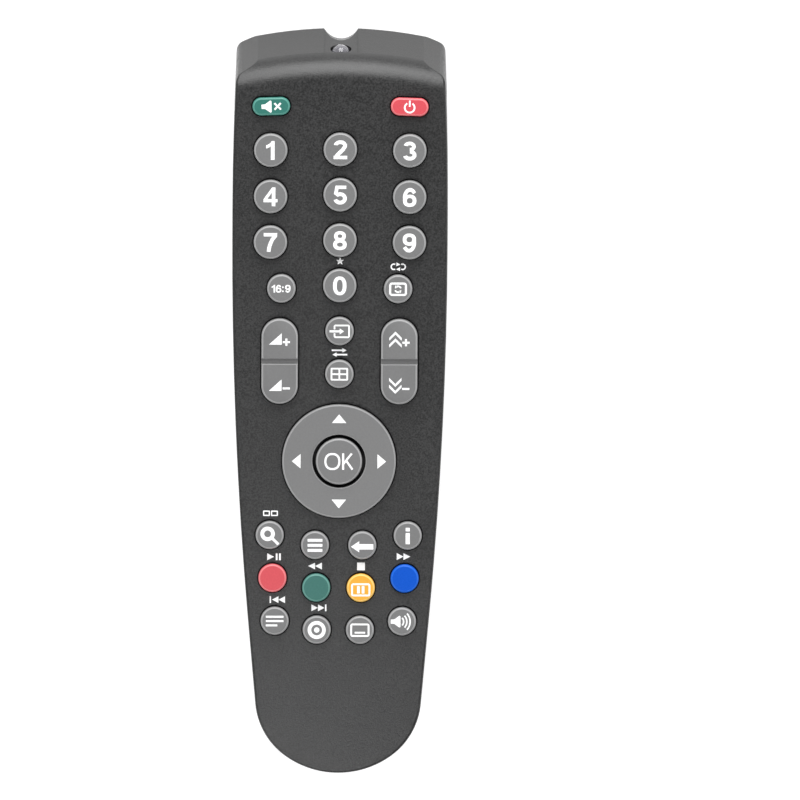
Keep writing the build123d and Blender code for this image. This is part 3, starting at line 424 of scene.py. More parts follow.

# painted highlight: paler copies of each key's colour for the edge round its top
paintedHighlightFinishes = {
    "key_rubber": keyRubber("keyEdge", tint(156, 156, 156), 0.42),
    "ring_rubber": keyRubber("ringEdge", tint(146, 146, 146), 0.42),
    "mute_rubber": keyRubber("muteEdge", tint(84, 148, 136), 0.42),
    "power_rubber": keyRubber("powerEdge", tint(232, 122, 126), 0.42),
    "red_rubber": keyRubber("redEdge", tint(230, 124, 128), 0.42),
    "green_rubber": keyRubber("greenEdge", tint(94, 146, 136), 0.42),
    "yellow_rubber": keyRubber("yellowEdge", tint(248, 202, 112), 0.42),
    "blue_rubber": keyRubber("blueEdge", tint(20, 100, 212), 0.45, 0.3),
}

for row in frame["record"]["subparts"]:
    node = frame["nodes"][row["node"]]
    node.data.materials.clear()
    node.data.materials.append(finishes[row["material_slot"]])
print("finishes on all", len(frame["nodes"]), "nodes")


# small tools of the bench
def looseSelection():
    if bpy.context.object and bpy.context.object.mode != "OBJECT":
        bpy.ops.object.mode_set(mode="OBJECT")
    bpy.ops.object.select_all(action="DESELECT")


def workOn(piece):
    looseSelection()
    piece.select_set(True)
    bpy.context.view_layer.objects.active = piece


def pick(piece, kind, wanted):
    # ends in edit mode, with only the wanted faces or points selected
    workOn(piece)
    bpy.ops.object.mode_set(mode="EDIT")
    bpy.ops.mesh.select_mode(type=kind)
    bpy.ops.mesh.select_all(action="DESELECT")
    bpy.ops.object.mode_set(mode="OBJECT")
    for part in piece.data.polygons if kind == "FACE" else piece.data.vertices:
        part.select = wanted(part)
    bpy.ops.object.mode_set(mode="EDIT")


def facesUp(face):
    return face.normal.z > 0.9


def facesDown(face):
    return face.normal.z < -0.9


def extrudeBy(height):
    # straight up, or down where the height is negative, in mm
    bpy.ops.mesh.extrude_region_move(TRANSFORM_OT_translate={"value": (0, 0, height * mm)})


def backToObject():
    bpy.ops.object.mode_set(mode="OBJECT")


def combine(piece, other, operation):
    # joins the other piece on or cuts it out, and the other is gone
    workOn(piece)
    step = piece.modifiers.new(operation.lower(), "BOOLEAN")
    step.object = other
    step.operation = operation
    step.solver = "EXACT"
    bpy.ops.object.modifier_apply(modifier=step.name)
    bpy.data.objects.remove(other)


def softShade(piece, angle=32.0):
    workOn(piece)
    bpy.ops.object.shade_smooth_by_angle(angle=math.radians(angle))


def weighNormals(piece):
    workOn(piece)
    weighted = piece.modifiers.new("weighted", "WEIGHTED_NORMAL")
    weighted.keep_sharp = True
    bpy.ops.object.modifier_apply(modifier=weighted.name)


def settle(piece):
    # the place goes into the mesh
    workOn(piece)
    bpy.ops.object.transform_apply(location=True, rotation=True, scale=True)


weldGap = 0.002  # mm, points nearer than this become one


def outwardFaces(piece):
    workOn(piece)
    bpy.ops.object.mode_set(mode="EDIT")
    bpy.ops.mesh.select_all(action="SELECT")
    bpy.ops.mesh.remove_doubles(threshold=weldGap * mm)
    bpy.ops.mesh.normals_make_consistent(inside=False)
    backToObject()


def dress(piece, body, slotName, *nodes):
    piece.data.materials.clear()
    piece.data.materials.append(finishes[slotName])
    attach(piece, body)
    if nodes:
        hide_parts(*nodes)


def middleOf(node):
    # x and y of the middle, and the lowest and highest z, in mm
    lo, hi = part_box(node)
    return (lo[0] + hi[0]) / 2 / mm, (lo[1] + hi[1]) / 2 / mm, lo[2] / mm, hi[2] / mm


# the key face: height at a place, in mm
keyFace = {"middle": 23.275, "crownRadius": 620.0, "bendRadius": 1790.0, "bendFrom": -27.5, "wall": 1.72}


def faceHeight(x, y):
    below = min(0.0, y - keyFace["bendFrom"])
    crown = x * x / (2 * keyFace["crownRadius"])
    return keyFace["middle"] - crown - below * below / (2 * keyFace["bendRadius"])


# push keys: cap, flange and stem in one body, modelled once for each size, in mm
keyShape = {
    "sides": 96,
    "flangeOut": 0.97,
    "flangeThick": 0.5,
    "stemIn": 1.75,  # the stem stays this far inside the cap's outline
    "pillIn": 0.15,
    "pillThick": 0.4,
    "rim": 0.52,
    "rimSteps": 5,
    "rimShape": 0.34,
    "modelTop": 3.0,
    "modelLow": -2.0,
    "capFrom": 1.55,  # in the model, points above this move with the top
    "stemFrom": -0.7,  # and points under this with the stem's end
    "paintedShadeTo": 1.35,  # painted dark up to this far above the flange, as painted shade down in the case
    "paintedHighlightFrom": 0.012,  # painted highlight on the edge from this far under the top
    "paintedHighlightTo": 0.34,  # to this far
    "flatFrom": 0.994,  # a face that points up by this much is the top, not its edge
}


def flangeHeight(x, y, halfX, halfY):
    # upper side of the flange, under the lowest corner of the face above it
    edge = keyShape["flangeOut"]
    return faceHeight(abs(x) + halfX + edge, y - halfY - edge) - keyFace["wall"]


def startFlange(name, radius, stretchX, stretchY, thick):
    # a round or oval block with its upper side at height 0
    bpy.ops.object.select_all(action="DESELECT")
    bpy.ops.mesh.primitive_cylinder_add(
        vertices=keyShape["sides"],
        radius=radius * mm,
        depth=thick * mm,
        location=(0, 0, -thick / 2 * mm),
        rotation=(0, 0, math.pi / keyShape["sides"]),
    )
    block = bpy.context.object
    block.name = name
    settle(block)
    for axis, stretch in ((0, stretchX), (1, stretchY)):
        if stretch <= 0:
            continue
        for way in (-1, 1):
            pick(block, "VERT", lambda point: point.co[axis] * way > 0)
            shift = [0.0, 0.0, 0.0]
            shift[axis] = way * stretch * mm
            bpy.ops.transform.translate(value=shift)
            backToObject()
    return block


def modelKey(
    name,
    radius,
    stretchX=0.0,
    stretchY=0.0,
    flangeOut=keyShape["flangeOut"],
    flangeThick=keyShape["flangeThick"],
    stemIn=keyShape["stemIn"],
):
    # stemIn of None leaves the underside flat
    key = startFlange(name, radius + flangeOut, stretchX, stretchY, flangeThick)
    pick(key, "FACE", facesUp)
    bpy.ops.mesh.inset(thickness=flangeOut * mm, depth=0.0)
    # a ring of faces up to where the painted shade ends
    extrudeBy(keyShape["paintedShadeTo"])
    extrudeBy(keyShape["modelTop"] - keyShape["paintedShadeTo"])
    bpy.ops.mesh.region_to_loop()
    bpy.ops.mesh.bevel(
        offset=keyShape["rim"] * mm,
        segments=keyShape["rimSteps"],
        profile=keyShape["rimShape"],
        affect="EDGES",
    )
    backToObject()
    if stemIn is not None:
        pick(key, "FACE", facesDown)
        bpy.ops.mesh.inset(thickness=(flangeOut + stemIn) * mm, depth=0.0)
        extrudeBy(keyShape["modelLow"] + keyShape["pillThick"] + flangeThick)
        bpy.ops.mesh.inset(thickness=keyShape["pillIn"] * mm, depth=0.0)
        extrudeBy(-keyShape["pillThick"])
        backToObject()
    softShade(key)
    weighNormals(key)
    return key


def placeKey(model, node, x, y, flange, top, low, turn):
    # a copy with its own mesh: the cap reaches up to top, the stem down to low
    looseSelection()
    key = model.copy()
    key.data = model.data.copy()
    key.name = node.replace("key_", "keyCap_").replace("rocker_", "rockerCap_")
    bpy.context.collection.objects.link(key)
    spin = Matrix.Rotation(math.radians(turn), 4, "Z")
    for point in key.data.vertices:
        z = point.co.z / mm
        if z > keyShape["capFrom"]:
            z += top - keyShape["modelTop"]
        elif z < keyShape["stemFrom"]:
            z += low - keyShape["modelLow"]
        else:
            z += flange
        flat = spin @ Vector((point.co.x, point.co.y, 0.0))
        point.co = (flat.x + x * mm, flat.y + y * mm, z * mm)
    return key


def colourSides(key, slotName, top, flange):
    # slot 1 is a paler copy of the key's colour on the edge, as painted highlight; slot 2 the dark mat
    # rubber inside the case, as painted shade
    key.data.materials.append(paintedHighlightFinishes[slotName])
    key.data.materials.append(finishes["mat_rubber"])
    for face in key.data.polygons:
        height = face.center.z / mm
        level = abs(face.normal.z) > keyShape["flatFrom"]
        # painted shade: faces down in the case get the dark mat rubber
        if height < flange + keyShape["paintedShadeTo"]:
            face.material_index = 2
        # painted highlight: edge faces just under the top get the paler copy of the key's colour
        elif keyShape["paintedHighlightFrom"] < top - height < keyShape["paintedHighlightTo"] and not level:
            face.material_index = 1


slotOf = {row["node"]: row["material_slot"] for row in frame["record"]["subparts"]}
keyTops = {}


def fitKey(model, node, flangeAt, turn=0.0):
    # puts a copy of the model in the node's place, with its flange as high as flangeAt says
    x, y, low, top = middleOf(node)
    keyTops[node] = (x, y, top)
    flange = flangeAt(x, y)
    key = placeKey(model, node, x, y, flange, top, low, turn)
    dress(key, node, slotOf[node], node)
    colourSides(key, slotOf[node], top, flange)


keySizes = {
    "digit": {"radius": 4.625, "keys": ["key_" + digit for digit in "0123456789"]},
    "small": {"radius": 3.95, "keys": ["key_aspect", "key_repeat", "key_source", "key_guide"]},
    "low": {
        "radius": 3.9,
        "keys": [
            "key_zoom", "key_menu", "key_back", "key_info", "key_red", "key_green", "key_yellow",
            "key_blue", "key_text", "key_record", "key_subtitle", "key_audio",
        ],
    },
}

for sizeName, size in keySizes.items():
    model = modelKey(sizeName + "KeyModel", size["radius"])
    for node in size["keys"]:
        fitKey(model, node, lambda x, y: flangeHeight(x, y, size["radius"], size["radius"]))
    bpy.data.objects.remove(model)

ovalKeys = {"halfLength": 5.2, "halfWidth": 2.475, "turns": {"key_mute": 1.8, "key_power": -1.8}}
model = modelKey(
    "ovalKeyModel", ovalKeys["halfWidth"], stretchX=ovalKeys["halfLength"] - ovalKeys["halfWidth"]
)
for node, turn in ovalKeys["turns"].items():
    fitKey(
        model,
        node,
        lambda x, y: flangeHeight(x, y, ovalKeys["halfLength"], ovalKeys["halfWidth"]),
        turn,
    )
bpy.data.objects.remove(model)

okKey = {"radius": 6.4, "stemIn": 2.4, "flangeRadius": 8.1, "flangeThick": 0.45, "flangeDepth": 2.55}
model = modelKey(
    "okKeyModel",
    okKey["radius"],
    flangeOut=okKey["flangeRadius"] - okKey["radius"],
    flangeThick=okKey["flangeThick"],
    stemIn=okKey["stemIn"],
)
fitKey(model, "key_ok", lambda x, y: keyFace["middle"] - okKey["flangeDepth"])
bpy.data.objects.remove(model)
print("push keys:", len(keyTops))

# rockers: long oval caps with a grooved middle, on two feet
rocker = {
    "radius": 5.05,
    "length": 23.6,
    "flangeThick": 0.6,
    "groove": 2.4,
    "grooveFloor": 1.3,
    "grooveDepth": 1.0,
    "grooveEase": 0.2,
    "cutterLength": 20.0,
    "tilt": 2.5,
    "feet": (-7.5, 7.5),
    "footRadius": 2.0,
    "footSides": 48,
    "footTop": -0.3,  # inside the flange, so that the foot joins it
    "footEase": 0.15,
}
model = modelKey(
    "rockerModel",
    rocker["radius"],
    stretchY=rocker["length"] / 2 - rocker["radius"],
    flangeThick=rocker["flangeThick"],
    stemIn=None,
)
for place in rocker["feet"]:
    low = keyShape["modelLow"]
    high = rocker["footTop"]
    looseSelection()
    bpy.ops.mesh.primitive_cylinder_add(
        vertices=rocker["footSides"],
        radius=rocker["footRadius"] * mm,
        depth=(high - low) * mm,
        location=(0, place * mm, (high + low) / 2 * mm),
    )
    foot = bpy.context.object
    settle(foot)
    pick(foot, "FACE", facesDown)
    bpy.ops.mesh.bevel(offset=rocker["footEase"] * mm, segments=2, affect="EDGES")
    backToObject()
    combine(model, foot, "UNION")
bpy.ops.object.select_all(action="DESELECT")
bpy.ops.mesh.primitive_cube_add(size=1.0, location=(0, 0, 0))
cutter = bpy.context.object
cutter.name = "grooveCutter"
cutter.dimensions = (
    rocker["cutterLength"] * mm, rocker["groove"] * mm, 2 * rocker["grooveDepth"] * mm
)
cutter.location = (0, 0, keyShape["modelTop"] * mm)
settle(cutter)
pick(cutter, "FACE", facesDown)
bpy.ops.transform.resize(value=(1.0, rocker["grooveFloor"] / rocker["groove"], 1.0))
backToObject()
workOn(cutter)
eased = cutter.modifiers.new("eased", "BEVEL")
eased.width = rocker["grooveEase"] * mm
eased.segments = 4
eased.limit_method = "ANGLE"
bpy.ops.object.modifier_apply(modifier=eased.name)
combine(model, cutter, "DIFFERENCE")
softShade(model)
rockerEnd = rocker["length"] / 2 + keyShape["flangeOut"]
rockerRise = rockerEnd * math.sin(math.radians(rocker["tilt"]))  # room for the end that goes up


def rockerFlange(x, y):
    return flangeHeight(x, y, rocker["radius"], rocker["length"] / 2) - rockerRise


for node in ("rocker_volume", "rocker_channel"):
    fitKey(model, node, rockerFlange)
bpy.data.objects.remove(model)
print("rockers: 2")

# ring: a hollow dished band, turned from one section, heights from the key face
ringShape = {
    "outer": 15.7,
    "bore": 7.35,
    "dish": 0.35,
    "dishCurve": 1.5,
    "dishSteps": 8,
    "edge": 0.5,
    "edgeSteps": 6,
    "innerEdge": 0.25,
    "innerSteps": 4,
    "wall": 1.6,
    "roof": 1.8,
    "skirt": 3.15,
    "innerSkirt": 2.1,
    "shoulder": 0.35,
    "flange": 0.87,
    "flangeThick": 0.5,
    "steps": 128,
    "paintedHighlightShare": 0.7,  # share of each edge that is painted pale, as painted highlight
    "paintedShadeFrom": 0.36,  # under the face by this much it is painted dark, as painted shade
}
sideways = Vector((1, 0, 0))


def arcPoints(x, y, radius, start, end, count):
    points = []
    for step in range(count + 1):
        turn = math.radians(start + (end - start) * step / count)
        points.append((x + radius * math.cos(turn), y + radius * math.sin(turn)))
    return points


def turnSection(name, section, centre, along, steps):
    # section points are (distance from the axis, place along it) in mm
    looseSelection()
    mesh = bpy.data.meshes.new(name)
    spots = [centre + (sideways * out + along * place) * mm for out, place in section]
    edges = [(i, (i + 1) % len(spots)) for i in range(len(spots))]
    if section[0][0] == 0.0:
        edges = edges[:-1]  # a section that starts on the axis has no edge along it
    mesh.from_pydata(spots, edges, [])
    piece = bpy.data.objects.new(name, mesh)
    bpy.context.collection.objects.link(piece)
    workOn(piece)
    bpy.ops.object.mode_set(mode="EDIT")
    bpy.ops.mesh.select_all(action="SELECT")
    axis = [abs(part) for part in along]
    bpy.ops.mesh.spin(steps=steps, angle=math.tau, center=centre, axis=axis)
    backToObject()
    outwardFaces(piece)
    return piece


ringX, ringY = middleOf("nav_ring")[:2]
ringTop = middleOf("nav_ring")[3] - keyFace["middle"]
outer, bore = ringShape["outer"], ringShape["bore"]
ringEdge, lip = ringShape["edge"], ringShape["innerEdge"]
dishFrom, dishTo = bore + lip, outer - ringEdge
dishLow = ringTop - ringShape["dish"]


def dishAt(out):
    # height of the dished top at a distance from the ring's axis
    share = min(1.0, max(0.0, (out - dishFrom) / (dishTo - dishFrom)))
    return dishLow + ringShape["dish"] * share ** ringShape["dishCurve"]


flangeLow = -ringShape["skirt"]
flangeTop = flangeLow + ringShape["flangeThick"]
roof = ringTop - ringShape["roof"]
ringSection = [(bore, -ringShape["innerSkirt"]), (bore, -ringShape["shoulder"])]
ringSection += arcPoints(dishFrom, dishLow - lip, lip, 180, 95, ringShape["innerSteps"])
for step in range(1, ringShape["dishSteps"]):
    out = dishFrom + step / ringShape["dishSteps"] * (dishTo - dishFrom)
    ringSection.append((out, dishAt(out)))
ringSection += arcPoints(dishTo, ringTop - ringEdge, ringEdge, 86, 0, ringShape["edgeSteps"])
ringSection += [
    (outer, -ringShape["shoulder"]),
    (outer, flangeTop),
    (outer + ringShape["flange"], flangeTop),
    (outer + ringShape["flange"], flangeLow),
    (outer - ringShape["wall"], flangeLow),
    (outer - ringShape["wall"], roof),
    (bore + ringShape["wall"], roof),
    (bore + ringShape["wall"], -ringShape["innerSkirt"]),
]
ringMiddle = Vector((ringX, ringY, keyFace["middle"])) * mm
ring = turnSection("ringCap", ringSection, ringMiddle, Vector((0, 0, 1)), ringShape["steps"])
softShade(ring, 40)
weighNormals(ring)
dress(ring, "nav_ring", "ring_rubber", "nav_ring")
# painted highlight on the outer and inner edges, painted shade on the parts under the face
ring.data.materials.append(paintedHighlightFinishes["ring_rubber"])
ring.data.materials.append(finishes["mat_rubber"])
for face in ring.data.polygons:
    out = math.hypot(face.center.x / mm - ringX, face.center.y / mm - ringY)
    high = face.center.z / mm - keyFace["middle"]
    onOuterEdge = out > dishTo and high > ringTop - ringEdge * ringShape["paintedHighlightShare"]
    onInnerEdge = out < dishFrom and high > dishLow - lip * ringShape["paintedHighlightShare"]
    if onOuterEdge or onInnerEdge:
        face.material_index = 1
    elif high < -ringShape["paintedShadeFrom"]:
        face.material_index = 2
print("ring turned with", len(ring.data.polygons), "faces")

# printed marks: outlines in mm round the middle of the key, each a closed loop
printInk = {"thick": 0.02, "lift": 0.006}


def turned(loop, x, y, turn):
    cosTurn = math.cos(math.radians(turn))
    sinTurn = math.sin(math.radians(turn))
    return [(x + px * cosTurn - py * sinTurn, y + px * sinTurn + py * cosTurn) for px, py in loop]


def disc(x, y, radius, count=40):
    return arcPoints(x, y, radius, 0, 360 - 360 / count, count - 1)


def roundBox(x, y, width, height, corner):
    loop = []
    for sideX, sideY, start in ((1, 1, 0), (-1, 1, 90), (-1, -1, 180), (1, -1, 270)):
        cornerX = x + sideX * (width / 2 - corner)
        cornerY = y + sideY * (height / 2 - corner)
        loop += arcPoints(cornerX, cornerY, corner, start, start + 90, 4)
    return loop


def frameLoops(x, y, width, height, line, corner):
    inner = max(0.08, corner - line)
    return [
        roundBox(x, y, width, height, corner),
        roundBox(x, y, width - 2 * line, height - 2 * line, inner),
    ]


def arcBand(x, y, radius, line, start, end, count):
    outside = arcPoints(x, y, radius + line / 2, start, end, count)
    return outside + arcPoints(x, y, radius - line / 2, end, start, count)


def arrowLoop(x, y, length, headLength, headWidth, shaft, turn=0.0):
    tip = length / 2
    neck = tip - headLength
    loop = [
        (tip, 0), (neck, headWidth / 2), (neck, shaft / 2), (-tip, shaft / 2),
        (-tip, -shaft / 2), (neck, -shaft / 2), (neck, -headWidth / 2),
    ]
    return turned(loop, x, y, turn)


def triangle(x, y, length, width, turn=0.0):
    loop = [(length / 2, 0), (-length / 2, width / 2), (-length / 2, -width / 2)]
    return turned(loop, x, y, turn)


def plusLoop(x, y, size, line, turn=0.0):
    far = size / 2
    near = line / 2
    loop = [
        (far, near), (near, near), (near, far), (-near, far), (-near, near), (-far, near),
        (-far, -near), (-near, -near), (-near, -far), (near, -far), (near, -near), (far, -near),
    ]
    return turned(loop, x, y, turn)


def speakerLoop(x, y, size):
    shape = [
        (-0.5, 0.16), (-0.22, 0.18), (0.18, 0.47), (0.27, 0.42), (0.27, -0.42),
        (0.18, -0.47), (-0.22, -0.18), (-0.5, -0.16),
    ]
    return [(x + px * size, y + py * size) for px, py in shape]


def loopArrows(x, y, radius, line, head):
    # two arcs that chase each other, each with a head a little past its end
    sweep, headAt = 105, 122
    loops = []
    for start in (20, 200):
        loops.append(arcBand(x, y, radius, line, start, start + sweep, 14))
        angle = math.radians(start + headAt)
        tipX = x + radius * math.cos(angle)
        tipY = y + radius * math.sin(angle)
        loops.append(triangle(tipX, tipY, head, head * 1.1, start + headAt + 90))
    return loops


def starLoop(x, y, radius):
    # five points, with hollows at this share of the radius
    hollow = 0.42
    loop = []
    for step in range(10):
        out = radius if step % 2 == 0 else radius * hollow
        angle = math.radians(90 + 36 * step)
        loop.append((x + out * math.cos(angle), y + out * math.sin(angle)))
    return loop


def ovalLoop(x, y, halfX, halfY, count=40):
    # a little squarer than an ellipse, for which the power would be 1
    power = 0.87
    loop = []
    for px, py in disc(0, 0, 1.0, count):
        squareX = math.copysign(abs(px) ** power, px)
        squareY = math.copysign(abs(py) ** power, py)
        loop.append((x + halfX * squareX, y + halfY * squareY))
    return loop


def ovalBand(x, y, halfX, halfY, line, start, end, count=26):
    loop = []
    for grow, first, last in ((line / 2, start, end), (-line / 2, end, start)):
        for px, py in arcPoints(0, 0, 1.0, first, last, count):
            loop.append((x + (halfX + grow) * px, y + (halfY + grow) * py))
    return loop


def strokeLoop(points, line):
    # a band of even width along a few points
    left = []
    right = []
    for step, point in enumerate(points):
        before = Vector(points[max(step - 1, 0)])
        after = Vector(points[min(step + 1, len(points) - 1)])
        along = (after - before).normalized()
        across = Vector((-along.y, along.x)) * line / 2
        left.append((point[0] + across.x, point[1] + across.y))
        right.append((point[0] - across.x, point[1] - across.y))
    return left + right[::-1]


def flatPrint(name, loops):
    looseSelection()
    curve = bpy.data.curves.new(name, "CURVE")
    curve.dimensions = "2D"
    curve.fill_mode = "BOTH"
    curve.extrude = printInk["thick"]
    for loop in loops:
        spline = curve.splines.new("POLY")
        spline.points.add(len(loop) - 1)
        for point, (px, py) in zip(spline.points, loop):
            point.co = (px, py, 0.0, 1.0)
        spline.use_cyclic_u = True
    piece = bpy.data.objects.new(name, curve)
    bpy.context.collection.objects.link(piece)
    workOn(piece)
    bpy.ops.object.convert(target="MESH")
    return bpy.context.object


def weldPrints(name, parts):
    whole = flatPrint(name, parts[0])
    for part in parts[1:]:
        combine(whole, flatPrint(name + "Part", part), "UNION")
    return whole


def joinPrints(name, parts):
    workOn(parts[0])
    for part in parts[1:]:
        part.select_set(True)
    bpy.ops.object.join()
    piece = bpy.context.object
    piece.name = name
    return piece


def layPrint(piece, body, x, y, surface, turn=0.0):
    # surface gives the height that the ink lies on, in mm
    for point in piece.data.vertices:
        px, py = turned([(point.co.x, point.co.y)], x, y, turn)[0]
        pz = surface(px, py) + point.co.z + printInk["lift"]
        point.co = (px * mm, py * mm, pz * mm)
    outwardFaces(piece)
    dress(piece, body, "legend_print")


def printOnKey(mark, node, turn=0.0):
    x, y, top = keyTops[node]
    layPrint(mark, node, x, y, lambda px, py: top, turn)


# figures in mm, each of parts that are welded together: a part is one outline and its holes
figureShape = {"height": 5.2, "line": 1.04}
figureLine = figureShape["line"]
figureParts = {
    "0": [[ovalLoop(0, 0, 1.86, 2.6), ovalLoop(0, 0, 0.82, 1.72)]],
    "1": [[[
        (0.02, -2.6), (1.06, -2.6), (1.06, 2.6), (0.24, 2.6), (0.02, 2.2), (-0.35, 1.85),
        (-0.85, 1.56), (-1.28, 1.42), (-1.28, 0.5), (-0.8, 0.67), (-0.35, 0.92), (0.02, 1.18),
    ]]],
    "2": [
        [ovalBand(0.02, 1.14, 1.3, 0.94, figureLine, 172, -28)],
        [strokeLoop(
            [(1.2, 0.78), (0.75, 0.05), (-0.2, -0.85), (-0.95, -1.6), (-1.25, -2.3)], figureLine
        )],
        [roundBox(0.03, -2.13, 3.75, 0.94, 0.05)],
    ],
    "3": [
        [ovalBand(-0.05, 1.24, 1.18, 0.86, figureLine - 0.06, 165, -88)],
        [ovalBand(-0.03, -1.12, 1.32, 0.98, figureLine, 88, -166)],
    ],
    "4": [[
        [
            (0.32, -2.6), (1.32, -2.6), (1.32, -1.5), (1.92, -1.5), (1.92, -0.62), (1.32, -0.62),
            (1.32, 2.6), (0.42, 2.6), (-1.95, -0.68), (-1.95, -1.5), (0.32, -1.5),
        ],
        [(0.34, -0.62), (0.34, 1.12), (-0.92, -0.62)],
    ]],
    "5": [
        [roundBox(0.2, 2.13, 2.95, 0.92, 0.05)],
        [strokeLoop([(-0.86, 2.3), (-1.02, 1.3), (-1.26, 0.12)], 0.96)],
        [ovalBand(0.0, -0.93, 1.34, 1.17, figureLine, 142, -164)],
    ],
    "6": [
        [ovalLoop(0.02, -0.93, 1.84, 1.68), ovalLoop(0.02, -0.93, 0.8, 0.76)],
        [ovalBand(0.12, -0.1, 1.46, 2.2, figureLine - 0.04, 34, 205)],
    ],
    "7": [
        [roundBox(0.0, 2.12, 3.7, 0.95, 0.05)],
        [strokeLoop(
            [(1.42, 1.9), (0.55, 0.85), (0.0, -0.35), (-0.35, -1.5), (-0.48, -2.6)], figureLine
        )],
    ],
    "8": [
        [ovalLoop(0, 1.24, 1.62, 1.36), ovalLoop(0, 1.24, 0.62, 0.5)],
        [ovalLoop(0, -1.12, 1.86, 1.48), ovalLoop(0, -1.12, 0.8, 0.58)],
    ],
    ":": [[roundBox(0, 1.0, 1.0, 1.0, 0.05)], [roundBox(0, -1.7, 1.0, 1.0, 0.05)]],
}
figureParts["9"] = [[turned(loop, 0, 0, 180) for loop in part] for part in figureParts["6"]]


def figurePrint(name, figure, scale=1.0, shift=0.0):
    parts = []
    for part in figureParts[figure]:
        parts.append([[(px * scale + shift, py * scale) for px, py in loop] for loop in part])
    return weldPrints(name, parts)


for digit in "0123456789":
    printOnKey(figurePrint("print_" + digit, digit), "key_" + digit)

aspectMark = {"height": 2.15, "places": {"1": -2.15, "6": -0.76, ":": 0.42, "9": 1.78}}
small = aspectMark["height"] / figureShape["height"]
figures = [
    figurePrint("aspectPart", figure, small, shift) for figure, shift in aspectMark["places"].items()
]
printOnKey(joinPrints("print_aspect", figures), "key_aspect")

okMark = {
    "line": 0.56,
    "roundX": -1.82,
    "halfWide": 2.2,
    "halfHigh": 2.36,
    "stemX": 1.15,
    "stemHigh": 4.55,
    "arm": [(1.2, -0.62), (3.52, 2.22)],
    "leg": [(1.98, 0.28), (3.72, -2.2)],
}
okLine = okMark["line"]
okRound = [
    ovalLoop(okMark["roundX"], 0, okMark["halfWide"], okMark["halfHigh"]),
    ovalLoop(okMark["roundX"], 0, okMark["halfWide"] - okLine, okMark["halfHigh"] - okLine),
]
okStrokes = [
    [roundBox(okMark["stemX"], 0, okLine, okMark["stemHigh"], 0.05)],
    [strokeLoop(okMark["arm"], okLine)],
    [strokeLoop(okMark["leg"], okLine)],
]
okParts = [weldPrints("okRound", [okRound]), weldPrints("okStrokes", okStrokes)]
printOnKey(joinPrints("print_ok", okParts), "key_ok")

# plain pictograms for the other keys, in mm round the middle of the key
keyMarks = {
    "key_mute": [speakerLoop(-0.9, 0, 3.6), plusLoop(1.75, 0, 2.5, 0.5, 45)],
    "key_power": [arcBand(0, -0.15, 1.35, 0.46, 122, 418, 30), roundBox(0, 0.95, 0.46, 1.75, 0.12)],
    "key_repeat": frameLoops(0, 0, 4.9, 3.7, 0.56, 0.8) + loopArrows(0, 0, 0.82, 0.42, 0.8),
    "key_guide": [roundBox(0, 0, 4.8, 3.5, 0.3)]
    + [roundBox(px, py, 1.72, 1.1, 0.1) for px in (-1.08, 1.08) for py in (-0.77, 0.77)],
    "key_zoom": [
        disc(-0.57, 0.4, 2.0), disc(-0.57, 0.4, 0.95),
        turned(roundBox(0, 0, 2.2, 0.75, 0.1), 1.65, -1.75, -44),
    ],
    "key_menu": [roundBox(0, py, 4.1, 0.78, 0.12) for py in (1.4, 0, -1.4)],
    "key_back": [arrowLoop(-0.05, -0.35, 6.2, 2.3, 3.1, 1.5, 180)],
    "key_info": [roundBox(0, 1.75, 1.15, 1.0, 0.1), roundBox(0, -0.75, 1.15, 3.1, 0.1)],
    "key_yellow": frameLoops(0, -0.5, 5.3, 3.6, 0.5, 0.6)
    + [roundBox(-0.65, -0.5, 0.75, 2.0, 0.08), roundBox(0.65, -0.5, 0.75, 2.0, 0.08)],
    "key_text": [roundBox(px, py, wide, 0.55, 0.1) for px, py, wide in (
        (0, 1.2, 4.9), (0, 0, 4.9), (-0.85, -1.2, 3.2))],
    "key_record": [disc(0, 0, 2.5, 48), disc(0, 0, 1.5), disc(0, 0, 0.75)],
    "key_subtitle": frameLoops(0, 0, 5.3, 3.7, 0.5, 0.6) + [roundBox(0, -0.7, 2.9, 0.5, 0.08)],
    "key_audio": [speakerLoop(-1.35, 0, 3.5)]
    + [arcBand(-1.1, 0, far, 0.42, -42, 42, 10) for far in (1.55, 2.45, 3.35)],
}
sourceFrame = [
    (-1.6, 0.55), (-1.6, 1.5), (-1.25, 1.85), (2.5, 1.85), (2.85, 1.5), (2.85, -1.5),
    (2.5, -1.85), (-1.25, -1.85), (-1.6, -1.5), (-1.6, -0.55), (-1.15, -0.55), (-1.15, -1.4),
    (2.4, -1.4), (2.4, 1.4), (-1.15, 1.4), (-1.15, 0.55),
]
keyMarks["key_source"] = [sourceFrame, arrowLoop(-0.75, 0, 4.0, 1.2, 1.6, 0.58)]

for node, loops in keyMarks.items():
    mark = flatPrint(node.replace("key_", "print_"), loops)
    printOnKey(mark, node, ovalKeys["turns"].get(node, 0.0))

